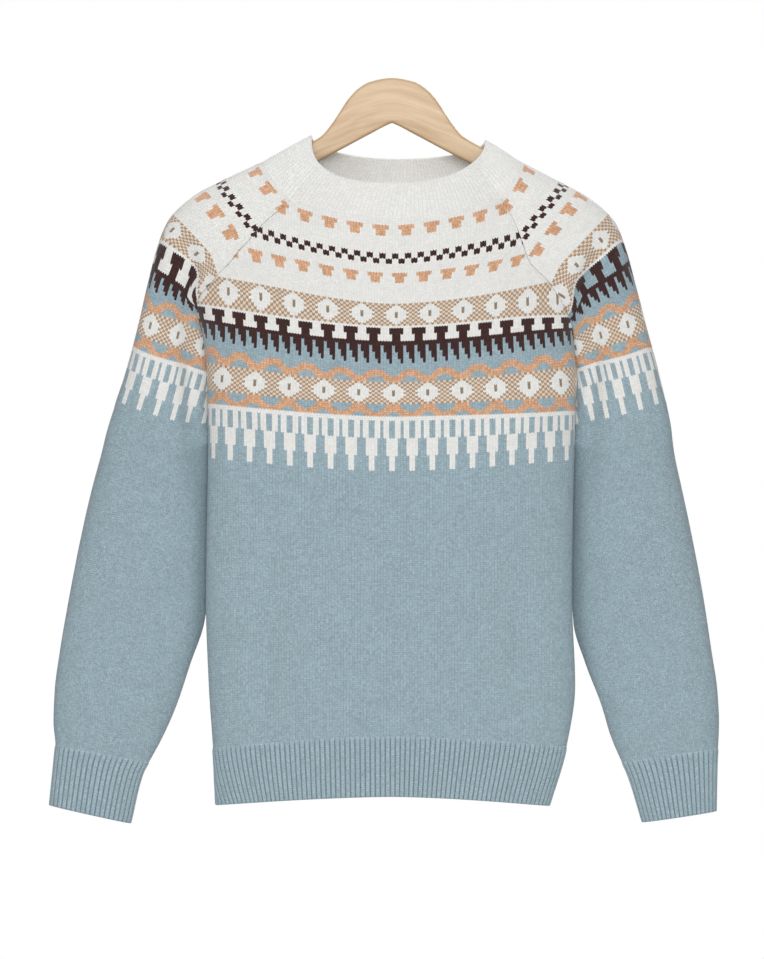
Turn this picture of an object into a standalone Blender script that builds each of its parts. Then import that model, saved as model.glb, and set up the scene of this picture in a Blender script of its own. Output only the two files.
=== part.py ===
"""A fair isle jumper that hangs on a wooden hanger, in metres, +Z up.

The origin is the top of the hanger's crown. The front of the jumper faces -Y, and the wearer's
right sleeve is at -X. Each knitted panel is a wall lofted through rings: the body is an oval
tube cut at its side seams and at slanting raglan seams, and each sleeve is an arc over the
shoulder that closes into a tube below the underarm.
"""

from types import SimpleNamespace

import bmesh
import bpy
import numpy as np

MM = 0.001
WALL = 2.4  # thickness of the knitted cloth
SEAM_GAP = 0.3  # clear space between two pieces at a seam
BODY_COLUMNS = 22  # faces across the front and across the back
SLEEVE_COLUMNS = 20  # faces round a sleeve
DROOP_POWER = 1.6  # how a knitted row sags from its seams towards the middle
SLEEVE_SQUARENESS = 2.3  # of the oval that a sleeve's rows follow
ARC_FADE = 0.6  # how soon a fold reaches its height beside a seam
FOLD_SHARPNESS = 2.2

HEM_RIBS = 150
CUFF_RIBS = 40
COLLAR_RIBS = 150
RIB_RISE = 1.1  # height of a rib over the valley beside it
FINE_RIB_RISE = 0.8  # the same on the collar, whose ribs are finer

HANGER_THICKNESS = 12.0
HANGER_ROUNDING = 2.5
HANGER_HALF_LENGTH = 187.0
ARM_SLOPE = 0.53  # fall of an arm for each millimetre outwards
ARM_END_HEIGHT = 15.0  # height of an arm just inside its round end
ARM_END_ARC = (62, -118)  # the round end, in degrees from +X

# Sizes in millimetres. A drop is measured down from the top of the hanger's crown, a width from
# the middle of the body, and a wrap is the angle from the middle of a panel to its side seam.
BODY_COLUMN_NAMES = (
    "front_drop back_drop seam_drop_right seam_drop_left width_right width_left "
    "depth squareness wrap_right wrap_left wrap_back back_rise rows"
)
BODY_ROWS = {
    "collar": (134.9, 110.2, 116.9, 115.0, 122.6, 118.8, 50, 2.0, 52.2, 59.8, 53, 16, 2),
    "chequers": (171.0, 148.2, 149.2, 150.1, 166.0, 155.0, 49, 2.0, 52.2, 51.4, 52, 14, 1),
    "cups": (189.0, 168.2, 169.1, 171.0, 181.0, 162.0, 48, 2.1, 54.2, 51.5, 52, 13, 2),
    "diamonds": (225.2, 207.0, 194.8, 199.5, 188.0, 172.0, 47, 2.2, 64.3, 60.8, 56, 11, 1),
    "tees": (237.5, 221.4, 214.7, 223.3, 187.0, 173.0, 46, 2.3, 80.6, 72.8, 60, 10, 2),
    "spikes": (270.8, 258.4, 246.0, 250.8, 179.6, 173.0, 46, 2.4, 88.0, 86.0, 64, 8, 1),
    "low diamonds": (298.3, 287.9, 281.2, 283.1, 175.8, 175.8, 46, 2.4, 92.0, 91.0, 68, 6, 1),
    "comb": (322.0, 313.5, 307.8, 312.6, 174.8, 174.3, 46, 2.4, 96.0, 96.0, 72, 4, 2),
    "underarm": (355.3, 351.5, 343.9, 343.9, 174.8, 173.4, 46, 2.4, 104.0, 104.0, 76, 0, 3),
    "waist": (495.9, 495.9, 494.0, 494.0, 176.7, 171.0, 42, 2.4, 102.0, 102.0, 78, 0, 2),
    "hip": (571.9, 571.9, 577.0, 577.0, 173.9, 173.9, 38, 2.4, 100.0, 100.0, 80, 0, 2),
    "rib top": (624.2, 624.2, 635.6, 634.6, 170.0, 165.8, 34, 2.4, 98.0, 98.0, 82, 0, 1),
    "hem": (682.1, 682.1, 690.7, 691.6, 167.2, 149.2, 30, 2.4, 98.0, 98.0, 82, 0, 0),
}

# Each sleeve by the drop of its inner edge, which is the raglan seam as far as the underarm.
OUTER_COLUMN_NAMES = "inner_drop outer_x outer_drop outer_y half_depth rows"
SLEEVE_OUTER = {
    "right": {
        "collar": (116.9, 122.6, 80.5, 0, 31, 0),
        "chequers": (149.2, 166.3, 100.7, 0, 32, 0),
        "cups": (169.1, 189.0, 113.0, 0, 33, 0),
        "diamonds": (194.8, 212.8, 136.8, 2, 32, 0),
        "tees": (214.7, 220.4, 163.4, 5, 30, 0),
        "spikes": (224.2, 228.5, 195.7, 9, 30, 0),
        "low diamonds": (255.6, 237.0, 231.8, 12, 31, 0),
        "comb": (280.3, 244.0, 258.4, 15, 32, 0),
        "underarm": (343.9, 263.0, 317.3, 20, 33, 1),
        "upper arm": (364.8, 269.8, 337.3, 22, 32, 1),
        "above elbow": (410.4, 284.0, 383.8, 26, 31, 1),
        "elbow": (460.8, 296.4, 437.0, 28, 29, 1),
        "below elbow": (516.8, 307.8, 495.9, 26, 26, 1),
        "forearm": (556.7, 315.9, 543.4, 22, 24, 1),
        "wrist": (596.6, 321.0, 583.3, 19, 22.5, 1),
        "gather": (625.1, 322.0, 611.8, 17, 21, 1),
        "cuff top": (649.8, 320.2, 633.7, 16, 18, 1),
        "cuff pull": (660.0, 321.0, 643.0, 16, 16.5, 1),
        "cuff end": (708.7, 325.9, 691.6, 16, 16, 0),
    },
    "left": {
        "collar": (115.0, 118.8, 78.4, 0, 31, 0),
        "chequers": (150.1, 161.5, 100.7, 0, 32, 0),
        "cups": (171.0, 186.2, 114.0, 0, 33, 0),
        "diamonds": (199.5, 212.8, 138.7, 2, 32, 0),
        "tees": (223.3, 221.4, 163.4, 5, 30, 0),
        "spikes": (236.0, 229.4, 195.7, 9, 30, 0),
        "low diamonds": (257.5, 238.0, 231.8, 12, 31, 0),
        "comb": (277.0, 245.0, 258.4, 15, 32, 0),
        "underarm": (343.9, 259.4, 317.3, 20, 33, 1),
        "upper arm": (364.8, 263.6, 337.3, 22, 32, 1),
        "above elbow": (410.4, 274.6, 383.8, 26, 31, 1),
        "elbow": (460.8, 286.0, 437.0, 28, 29, 1),
        "below elbow": (518.7, 296.9, 495.9, 26, 26, 1),
        "forearm": (556.7, 304.0, 543.4, 22, 24, 1),
        "wrist": (596.6, 309.7, 583.3, 19, 22.5, 1),
        "gather": (625.1, 311.1, 611.8, 17, 21, 1),
        "cuff top": (649.8, 310.2, 636.5, 16, 18, 1),
        "cuff pull": (660.0, 309.5, 646.0, 16, 16.5, 1),
        "cuff end": (707.8, 308.3, 697.3, 16, 16, 0),
    },
}
INNER_COLUMN_NAMES = "inner_drop inner_x centre_y"
SLEEVE_INNER = {
    "right": {
        "upper arm": (364.8, 171.5, 22),
        "above elbow": (410.4, 172.0, 28),
        "elbow": (460.8, 172.0, 29),
        "below elbow": (516.8, 178.6, 26),
        "forearm": (556.7, 191.9, 22),
        "wrist": (596.6, 205.2, 19),
        "gather": (625.1, 217.6, 17),
        "cuff top": (649.8, 230.9, 16),
        "cuff pull": (660.0, 236.6, 16),
        "cuff end": (708.7, 248.9, 16),
    },
    "left": {
        "upper arm": (364.8, 170.0, 22),
        "above elbow": (410.4, 170.0, 28),
        "elbow": (460.8, 170.0, 29),
        "below elbow": (518.7, 173.0, 26),
        "forearm": (556.7, 184.3, 22),
        "wrist": (596.6, 199.5, 19),
        "gather": (625.1, 208.0, 17),
        "cuff top": (649.8, 218.5, 16),
        "cuff pull": (660.0, 223.4, 16),
        "cuff end": (707.8, 238.5, 16),
    },
}

# The collar's top edge is an oval that stands a little to the wearer's left.
NECK = SimpleNamespace(
    middle_x=6.0,
    half_width=82.4,
    depth_front=45.0,
    depth_back=44.0,
    drop_front=99.8,
    drop_back=75.0,
    drop_right=54.0,
    drop_left=58.5,
    squareness_right=2.85,
    squareness_left=2.1,
    squareness_back=2.0,
    lean=1.4,  # how much sooner the edge comes forward than it falls
    bulge=1.5,
)

# The crown of the hanger: how far it has spread at each drop, then the straight arm.
CROWN_COLUMN_NAMES = "spread drop"
CROWN_ROWS = {
    "top": (0.0, 0.0),
    "round of the top": (21.0, 3.8),
    "shoulder": (31.0, 9.5),
    "side": (42.0, 20.9),
    "lower side": (49.6, 32.5),
    "neck": (57.6, 44.4),
    "root of the arm": (66.4, 54.8),
    "start of the arm": (78.0, 62.2),
}
UNDERSIDE_ROWS = {
    "apex": (0.0, 42.6),
    "round of the apex": (6.0, 45.2),
    "start of the slope": (20.0, 52.6),
    "middle of the slope": (46.0, 66.5),
    "root of the arm": (73.0, 80.6),
}

# The largest soft folds: where the middle of each lies, how it runs (degrees from +X, on the
# side it is seen from), its length, width and height. A negative height is a hollow.
FOLD_COLUMN_NAMES = ("x", "drop", "angle", "length", "width", "height")
FOLDS = {
    "front": {
        "drag from the right underarm": (-128, 318, -38, 110, 34, 2.6),
        "drag from the left underarm": (128, 322, 38, 110, 34, 2.6),
        "right ripple": (-78, 520, 86, 240, 56, 3.2),
        "left ripple": (66, 500, 94, 260, 60, 3.0),
        "hollow between them": (-6, 540, 90, 220, 60, -2.6),
    },
    "back": {
        "drag from the right underarm": (-120, 330, -40, 110, 36, 2.6),
        "drag from the left underarm": (120, 330, 40, 110, 36, 2.6),
        "middle ripple": (10, 520, 90, 260, 60, 3.0),
        "right hollow": (-84, 530, 88, 220, 56, -2.4),
    },
    "sleeve_right": {
        "crease at the elbow": (-236, 470, 24, 90, 34, 2.4),
        "hollow below the elbow": (-252, 520, 18, 90, 36, -2.2),
        "puff over the cuff": (-274, 606, 8, 80, 34, 2.0),
    },
    "sleeve_left": {
        "crease at the elbow": (228, 468, -24, 90, 34, 2.4),
        "hollow below the elbow": (242, 518, -18, 90, 36, -2.2),
        "puff over the cuff": (262, 606, -8, 80, 34, 2.0),
    },
}

MATERIALS = {
    "dusty_blue_knit": ((0.232, 0.342, 0.372), 0.92),
    "off_white_knit": ((0.78, 0.76, 0.72), 0.92),
    "pale_wood": ((0.62, 0.40, 0.22), 0.45),
}

BACKWARD = np.array([0.0, 1.0, 0.0])
UPWARD = np.array([0.0, 0.0, 1.0])


class Table:
    """A short table of sizes. Its first column is the key, and the others are read between rows
    along a smooth curve that never passes the values on either side of it."""

    def __init__(self, column_names, rows):
        self.names = column_names.split()
        self.rows = list(rows)
        self.values = np.array(list(rows.values()), float)

    def key(self, row):
        return self.values[self.rows.index(row), 0]

    def column(self, name):
        return self.values[:, self.names.index(name)]

    def read(self, name, at):
        keys, values = self.values[:, 0], self.column(name)
        step = np.diff(keys)
        rise = np.diff(values) / step
        slope = np.concatenate([rise[:1], np.zeros(len(keys) - 2), rise[-1:]])
        same_way = rise[:-1] * rise[1:] > 0
        before = 2 * step[1:] + step[:-1]
        after = step[1:] + 2 * step[:-1]
        mean = (before + after) / (
            before / np.where(same_way, rise[:-1], 1) + after / np.where(same_way, rise[1:], 1)
        )
        slope[1:-1] = np.where(same_way, mean, 0)
        at = np.asarray(at, float)
        i = np.clip(np.searchsorted(keys, at, side="right") - 1, 0, len(step) - 1)
        t = (at - keys[i]) / step[i]
        return (
            values[i] * (1 + 2 * t) * (1 - t) ** 2
            + slope[i] * step[i] * t * (1 - t) ** 2
            + values[i + 1] * t**2 * (3 - 2 * t)
            + slope[i + 1] * step[i] * t**2 * (t - 1)
        )

    def at(self, key):
        """All the columns at one key, by name."""
        return SimpleNamespace(**{name: float(self.read(name, key)) for name in self.names})

    def stations(self, first, last):
        """Keys from one named row to another, with the number of steps that each row asks for."""
        start, end = self.rows.index(first), self.rows.index(last)
        keys, steps = self.values[:, 0], self.column("rows").astype(int)
        found = [np.linspace(keys[i], keys[i + 1], steps[i] + 1)[:-1] for i in range(start, end)]
        return np.append(np.concatenate(found), keys[end])


BODY = Table(BODY_COLUMN_NAMES, BODY_ROWS)
OUTER = {side: Table(OUTER_COLUMN_NAMES, rows) for side, rows in SLEEVE_OUTER.items()}


def signed_power(value, power):
    return np.sign(value) * np.abs(value) ** power


def unit(vectors):
    return vectors / np.linalg.norm(vectors, axis=-1, keepdims=True)


def ease(value, start, end):
    t = np.clip((value - start) / (end - start), 0, 1)
    return t * t * (3 - 2 * t)


def body_ring(front_drop, facing):
    """One row of the front (facing -1) or back (facing 1), from the right seam to the left."""
    row = BODY.at(front_drop)
    t = np.linspace(-1, 1, BODY_COLUMNS + 1)
    right = t < 0
    if facing < 0:
        wrap = np.where(right, row.wrap_right, row.wrap_left)
        middle_drop, rise = row.front_drop, 0
    else:
        meeting = 180 - np.where(right, row.wrap_right, row.wrap_left)
        wrap = meeting if front_drop >= BODY.key("underarm") else row.wrap_back
        middle_drop, rise = row.back_drop, row.back_rise
    width = np.where(right, row.width_right, row.width_left)
    seam_drop = np.where(right, row.seam_drop_right, row.seam_drop_left) - rise
    angle = np.radians(t * wrap)
    roundness = 2 / row.squareness
    x = width * signed_power(np.sin(angle), roundness)
    y = facing * row.depth * signed_power(np.cos(angle), roundness)
    edge = width * np.sin(np.radians(np.minimum(wrap, 90))) ** roundness
    droop = (np.abs(x) / edge) ** DROOP_POWER
    return np.stack([x, y, -(middle_drop + (seam_drop - middle_drop) * droop)], axis=-1)


def sleeve_arc(front_end, back_end, outer, half_depth, depth_axis):
    """An oval arc from the front seam over the outer point to the back seam. It is half an oval
    where the seams are as far apart as the sleeve is deep, and all of it where they meet."""
    middle = (front_end + back_end) / 2
    half_gap = np.linalg.norm(back_end - front_end) / 2
    roundness = 2 / SLEEVE_SQUARENESS
    half_depth = max(half_depth, half_gap)
    wrap = np.pi - np.arcsin(min(1.0, (half_gap / half_depth) ** (1 / roundness)))
    overshoot = np.abs(np.cos(wrap)) ** roundness
    across = (outer - middle) / (1 + overshoot)
    centre = outer - across
    angle = np.linspace(-wrap, wrap, SLEEVE_COLUMNS + 1)[:, None]
    return (
        centre
        + across * signed_power(np.cos(angle), roundness)
        + depth_axis * half_depth * signed_power(np.sin(angle), roundness)
    )


def sleeve_rows(side, front_seam, back_seam):
    """The rows of a sleeve from the collar to the cuff's end."""
    sign = -1 if side == "right" else 1
    outer_table = OUTER[side]
    underarm = front_seam[-1]
    inner_table = Table(
        INNER_COLUMN_NAMES,
        {"underarm": (-underarm[2], sign * underarm[0], underarm[1]), **SLEEVE_INNER[side]},
    )

    def outer_point(row):
        return np.array([sign * row.outer_x, row.outer_y, -row.outer_drop])

    rows = []
    for front_end, back_end in zip(front_seam[:-1], back_seam[:-1]):
        row = outer_table.at(-front_end[2])
        depth_axis = unit(back_end - front_end)
        rows.append(
            sleeve_arc(front_end, back_end, outer_point(row), row.half_depth, depth_axis)
        )
    seam_axis = depth_axis
    for drop in outer_table.stations("underarm", "cuff end"):
        row, inner = outer_table.at(drop), inner_table.at(drop)
        point = np.array([sign * inner.inner_x, inner.centre_y, -drop])
        turned = ease(drop, -underarm[2], outer_table.key("above elbow"))
        depth_axis = unit(seam_axis * (1 - turned) + BACKWARD * turned)
        rows.append(sleeve_arc(point, point, outer_point(row), row.half_depth, depth_axis))
    return np.array(rows)


def grid_normals(grid, closed_from=None):
    """Unit normals of a grid of rows, by finite differences. From the row closed_from on, the
    first and last columns are the same points."""
    along = np.gradient(grid, axis=0)
    across = np.gradient(grid, axis=1)
    if closed_from is not None:
        joined = grid[closed_from:, 1] - grid[closed_from:, -2]
        across[closed_from:, 0] = across[closed_from:, -1] = joined / 2
    return unit(np.cross(across, along))


def fold_push(points, folds):
    """How far the folds push each point out."""
    push = np.zeros(points.shape[:-1])
    for values in folds.values():
        fold = SimpleNamespace(**dict(zip(FOLD_COLUMN_NAMES, values)))
        turn = np.radians(fold.angle)
        right, up = points[..., 0] - fold.x, points[..., 2] + fold.drop
        along = (right * np.cos(turn) + up * np.sin(turn)) / fold.length
        aside = (up * np.cos(turn) - right * np.sin(turn)) / fold.width
        push += fold.height * np.exp(-((2 * along) ** 2) - (FOLD_SHARPNESS * aside) ** 2)
    return push


def with_folds(grid, normals, name, facing):
    """The grid with its folds, which fade out towards every seam."""
    rows, columns = grid.shape[:2]
    inside = np.sin(np.linspace(0, np.pi, columns)) ** ARC_FADE
    fade = np.minimum(1, np.linspace(0, rows - 1, rows)[:, None] / 2)
    fade = fade * np.minimum(1, np.linspace(rows - 1, 0, rows)[:, None] / 2)
    seen = np.clip(facing * normals[..., 1], 0, 1) if facing else np.abs(normals[..., 1])
    push = fold_push(grid, FOLDS[name]) * inside * fade * seen
    return grid - normals * push[..., None]


def make_material(name):
    colour, roughness = MATERIALS[name]
    material = bpy.data.materials.get(name)
    if material is None:
        material = bpy.data.materials.new(name)
        material.use_nodes = True
        shader = material.node_tree.nodes["Principled BSDF"]
        shader.inputs["Base Color"].default_value = (*colour, 1)
        shader.inputs["Roughness"].default_value = roughness
        shader.inputs["Metallic"].default_value = 0
    return material


def make_piece(name, points, faces, material, collection):
    mesh = bpy.data.meshes.new(name)
    mesh.from_pydata((np.asarray(points) * MM).tolist(), [], faces)
    built = bmesh.new()
    built.from_mesh(mesh)
    bmesh.ops.recalc_face_normals(built, faces=built.faces)
    built.to_mesh(mesh)
    built.free()
    mesh.shade_smooth()
    mesh.set_sharp_from_angle(angle=np.radians(50))
    mesh.materials.append(make_material(material))
    piece = bpy.data.objects.new(name, mesh)
    collection.objects.link(piece)
    return piece


def panel_faces(rows, columns, closed_from, count):
    """Faces of the outer wall, of the inner wall and of the edges between them. Point r, c of
    the outer wall has the index r * columns + c, and the inner wall's points follow."""

    def index(r, c):
        if closed_from is not None and r >= closed_from and c == columns - 1:
            c = 0
        return r * columns + c

    outer = [
        (index(r, c), index(r + 1, c), index(r + 1, c + 1), index(r, c + 1))
        for r in range(rows - 1)
        for c in range(columns - 1)
    ]
    inner = [tuple(i + count for i in reversed(face)) for face in outer]
    edges = {}
    for face in outer:
        for a, b in zip(face, face[1:] + face[:1]):
            if (b, a) in edges:
                del edges[(b, a)]
            else:
                edges[(a, b)] = True
    rims = [(b, a, a + count, b + count) for a, b in edges]
    return outer + inner + rims


def make_panel(name, grid, inward, material, collection, closed_from=None):
    """A wall of cloth: the grid is its outer side, and inward points to its inner side."""
    rows, columns = grid.shape[:2]
    outer = grid.reshape(-1, 3)
    inner = outer + WALL * inward.reshape(-1, 3)
    faces = panel_faces(rows, columns, closed_from, len(outer))
    used = sorted({i for face in faces for i in face})
    place = {old: new for new, old in enumerate(used)}
    points = np.concatenate([outer, inner])[used]
    faces = [tuple(place[i] for i in face) for face in faces]
    return make_piece(name, points, faces, material, collection)


def seam_direction(panel_normals, sleeve_normals):
    """The direction through the cloth that a panel and a sleeve share at their seam: their mean
    near the neck, then straight across the armhole, and upwards at the underarm."""
    mean = unit(panel_normals + sleeve_normals)
    drop = BODY.stations("collar", "underarm")
    across = ease(drop, BODY.key("cups"), BODY.key("spikes"))[:, None]
    up = ease(drop, BODY.key("low diamonds"), BODY.key("underarm"))[:, None]
    inwards = BACKWARD * np.sign(mean[0, 1])
    mixed = unit(mean * (1 - across) + inwards * across)
    return unit(mixed * (1 - up) + UPWARD * up)


def between_points(values, path, places):
    """Values of a closed path's points, read at places from 0 to 1 along its first row."""
    step = np.linalg.norm(np.diff(path[0], axis=0), axis=1)
    length = np.concatenate([[0], np.cumsum(step)])
    at = places * length[-1]
    i = np.clip(np.searchsorted(length, at, side="right") - 1, 0, len(step) - 1)
    t = ((at - length[i]) / step[i])[:, None]
    return values[:, i] * (1 - t) + values[:, i + 1] * t


def make_ribbed_band(name, path, inward, ribs, rise, material, collection):
    """A band of ribs round a closed path: the outer wall has a ridge and a valley for each rib,
    and the inner wall is plain."""
    places = np.arange(2 * ribs) / (2 * ribs)
    outer = between_points(path, path, places)
    through = unit(between_points(inward, path, places))
    valleys = outer[:, ::2]
    inner = valleys + WALL * through[:, ::2]
    outer = outer.copy()
    outer[:, 1::2] -= rise * through[:, 1::2]
    rows, count = len(path), 2 * ribs
    points = np.concatenate([outer.reshape(-1, 3), inner.reshape(-1, 3)])
    first_inner = rows * count
    faces = []
    for r in range(rows - 1):
        top, below = r * count, (r + 1) * count
        for c in range(count):
            n = (c + 1) % count
            faces.append((top + c, below + c, below + n, top + n))
        top, below = first_inner + r * ribs, first_inner + (r + 1) * ribs
        for c in range(ribs):
            n = (c + 1) % ribs
            faces.append((top + n, below + n, below + c, top + c))
    for r in (0, rows - 1):
        for c in range(ribs):
            n = (c + 1) % ribs
            ridge = (r * count + 2 * c, r * count + 2 * c + 1, r * count + 2 * n)
            faces.append((*ridge, first_inner + r * ribs + n, first_inner + r * ribs + c))
    return make_piece(name, points, faces, material, collection)


def closed_path(*parts):
    """Rows of points that run on from each other, joined into one closed path."""
    joined = [part[:, :-1] for part in parts]
    return np.concatenate([*joined, parts[0][:, :1]], axis=1)


def loop_normals(path):
    """Inward unit normals of a closed band."""
    across = np.roll(path[:, :-1], -1, axis=1) - np.roll(path[:, :-1], 1, axis=1)
    across = np.concatenate([across, across[:, :1]], axis=1)
    normals = unit(np.cross(across, np.gradient(path, axis=0)))
    to_middle = path.mean(axis=(0, 1)) - path
    return normals * np.sign((normals * to_middle).sum())


def neck_row(base, height):
    """The row of the collar above its base row, from 0 at the base to 1 at the top edge."""
    spread_x = np.where(base[:, 0] < 0, BODY.column("width_right")[0], BODY.column("width_left")[0])
    angle = np.arctan2(base[:, 0] / spread_x, -base[:, 1] / BODY.column("depth")[0])
    right, front = np.sin(angle) < 0, np.cos(angle) > 0
    depth = np.where(front, NECK.depth_front, NECK.depth_back)
    side_drop = np.where(right, NECK.drop_right, NECK.drop_left)
    middle_drop = np.where(front, NECK.drop_front, NECK.drop_back)
    squareness = np.where(right, NECK.squareness_right, NECK.squareness_left)
    roundness = 2 / np.where(front, squareness, NECK.squareness_back)
    drop = side_drop + (middle_drop - side_drop) * np.abs(np.cos(angle)) ** roundness
    x = NECK.middle_x + NECK.half_width * signed_power(np.sin(angle), roundness)
    forward = signed_power(np.cos(angle), np.where(front, roundness / NECK.lean, roundness))
    top = np.stack([x, -depth * forward, -drop], axis=-1)
    row = base * (1 - height) + top * height
    outwards = np.stack([np.sin(angle), -np.cos(angle), 0 * angle], axis=-1)
    return row + outwards * (NECK.bulge * np.sin(np.pi * height))[..., None]


def make_hanger(collection):
    """A flat hanger with an arched crown, cut from board and rounded all along its edge."""
    crown = Table(CROWN_COLUMN_NAMES, CROWN_ROWS)
    underside = Table(CROWN_COLUMN_NAMES, UNDERSIDE_ROWS)
    radius = ARM_END_HEIGHT / 2
    end_x = HANGER_HALF_LENGTH - radius
    arm_start = crown.values[-1]
    end_drop = arm_start[1] + ARM_SLOPE * (end_x - arm_start[0]) + radius
    angle = np.radians(np.linspace(*ARM_END_ARC, 9))
    tip = np.stack([end_x + radius * np.cos(angle), -end_drop + radius * np.sin(angle)], axis=-1)
    top_x = np.concatenate([np.linspace(0, 8, 3), np.linspace(14, arm_start[0], 16)])
    top = np.stack([top_x, -crown.read("drop", top_x)], axis=-1)
    under_x = np.linspace(underside.values[-1, 0], 0, 12)
    under = np.stack([under_x, -underside.read("drop", under_x)], axis=-1)
    half = np.concatenate([top, tip, under])
    outline = np.concatenate([half, half[-2:0:-1] * (-1, 1)])
    curve = bpy.data.curves.new("hanger", "CURVE")
    curve.dimensions = "2D"
    curve.fill_mode = "BOTH"
    curve.extrude = (HANGER_THICKNESS / 2 - HANGER_ROUNDING) * MM
    curve.bevel_depth = HANGER_ROUNDING * MM
    curve.bevel_resolution = 1
    curve.offset = -HANGER_ROUNDING * MM
    spline = curve.splines.new("POLY")
    spline.points.add(len(outline) - 1)
    for point, (x, z) in zip(spline.points, outline):
        point.co = (x * MM, z * MM, 0, 1)
    spline.use_cyclic_u = True
    curve.materials.append(make_material("pale_wood"))
    hanger = bpy.data.objects.new("hanger", curve)
    hanger.rotation_euler = (np.radians(90), 0, 0)
    collection.objects.link(hanger)


def shaped_grids():
    """The outer side of each panel as a grid of rows, with its folds, and the directions through
    the cloth, which two panels share at their seam. A sleeve's rows are open as far as closed."""
    drops = BODY.stations("collar", "rib top")
    open_rows = len(BODY.stations("collar", "underarm"))
    closed = {"sleeve_right": open_rows - 1, "sleeve_left": open_rows - 1}
    front = np.array([body_ring(drop, -1) for drop in drops])
    back = np.array([body_ring(drop, 1) for drop in drops])
    ends = {"right": 0, "left": -1}
    grids = {"front": front, "back": back}
    for side, end in ends.items():
        rows = sleeve_rows(side, front[:open_rows, end], back[:open_rows, end])
        grids[f"sleeve_{side}"] = rows
    inward_sign = {"front": 1, "back": -1, "sleeve_right": -1, "sleeve_left": 1}
    facing = {"front": 1, "back": -1, "sleeve_right": 0, "sleeve_left": 0}
    inward = {}
    for name, grid in grids.items():
        normals = inward_sign[name] * grid_normals(grid, closed.get(name))
        grids[name] = with_folds(grid, normals, name, facing[name])
        inward[name] = inward_sign[name] * grid_normals(grids[name], closed.get(name))
    for side, end in ends.items():
        sleeve = inward[f"sleeve_{side}"]
        for panel, sleeve_end in (("front", 0), ("back", -1)):
            panel_edge = inward[panel][:open_rows, end]
            shared = seam_direction(panel_edge, sleeve[:open_rows, sleeve_end])
            inward[panel][:open_rows, end] = shared
            sleeve[:open_rows, sleeve_end] = shared
        both = unit(inward["front"][open_rows:, end] + inward["back"][open_rows:, end])
        inward["front"][open_rows:, end] = both
        inward["back"][open_rows:, end] = both
    return grids, inward, closed


def clear_of_seams(grid, closed_from):
    """The grid with its side edges moved half a seam gap back from the seams."""
    grid = grid.copy()
    end = len(grid) if closed_from is None else closed_from
    for edge, beside in ((0, 1), (-1, -2)):
        grid[:end, edge] += SEAM_GAP / 2 * unit(grid[:end, beside] - grid[:end, edge])
    if closed_from is not None:
        beside = (grid[closed_from, 1] + grid[closed_from, -2]) / 2
        moved = grid[closed_from, 0] + SEAM_GAP * unit(beside - grid[closed_from, 0])
        grid[closed_from, 0] = grid[closed_from, -1] = moved
    return grid


def sewn_below(path):
    """A band's rows with the first one moved a seam gap towards the next."""
    path = path.copy()
    path[0] += SEAM_GAP * unit(path[1] - path[0])
    return path


def make_collar(grids, inward, collection):
    around = ("front", "sleeve_left", "back", "sleeve_right")
    backwards = ("back", "sleeve_right")
    base, through = (
        closed_path(*[
            rows[name][:1, ::-1] if name in backwards else rows[name][:1] for name in around
        ])
        for rows in (grids, inward)
    )
    path = np.array([neck_row(base[0], height) for height in (0, 0.5, 1)])
    directions = loop_normals(path)
    directions[0] = through[0]
    make_ribbed_band(
        "collar_rib", sewn_below(path), directions, COLLAR_RIBS, FINE_RIB_RISE,
        "off_white_knit", collection,
    )


def make_hem(grids, inward, collection):
    drops = BODY.stations("rib top", "hem")
    front = np.array([body_ring(drop, -1) for drop in drops])
    back = np.array([body_ring(drop, 1) for drop in drops])
    path = closed_path(front, back[:, ::-1])
    directions = loop_normals(path)
    directions[0] = closed_path(inward["front"][-1:], inward["back"][-1:, ::-1])[0]
    make_ribbed_band(
        "hem_rib", sewn_below(path), directions, HEM_RIBS, RIB_RISE,
        "dusty_blue_knit", collection,
    )


def make_jumper(collection):
    grids, inward, closed = shaped_grids()
    for name, grid in grids.items():
        closed_from = closed.get(name)
        through = inward[name]
        if closed_from is not None:
            cuff_rows = len(OUTER["right"].stations("cuff top", "cuff end"))
            make_ribbed_band(
                name.replace("sleeve", "cuff"), sewn_below(grid[-cuff_rows:]),
                through[-cuff_rows:], CUFF_RIBS, RIB_RISE, "dusty_blue_knit", collection,
            )
            last = len(grid) - cuff_rows + 1
            grid, through = grid[:last], through[:last]
        grid = clear_of_seams(grid, closed_from)
        make_panel(name, grid, through, "dusty_blue_knit", collection, closed_from)
    make_collar(grids, inward, collection)
    make_hem(grids, inward, collection)


def main():
    for old in list(bpy.data.objects):
        bpy.data.objects.remove(old, do_unlink=True)
    collection = bpy.data.collections.new("fair isle jumper")
    bpy.context.scene.collection.children.link(collection)
    make_jumper(collection)
    make_hanger(collection)


main()
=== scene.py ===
"""The looks of a fair isle jumper that hangs open on a wooden hanger.

The frame is in metres, +Z up, with the front towards -Y and the wearer's right sleeve at -X. Sizes
are in millimetres, and those of the body, sleeves, neck and hanger are the sizes of the solids. Each
panel is knitted stitch by stitch: its columns are wales, its rows are courses, and a stitch is two
legs that meet in a V.
"""

from types import SimpleNamespace

import bmesh
import bpy
import numpy as np
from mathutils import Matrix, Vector
from mathutils.geometry import delaunay_2d_cdt


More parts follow.
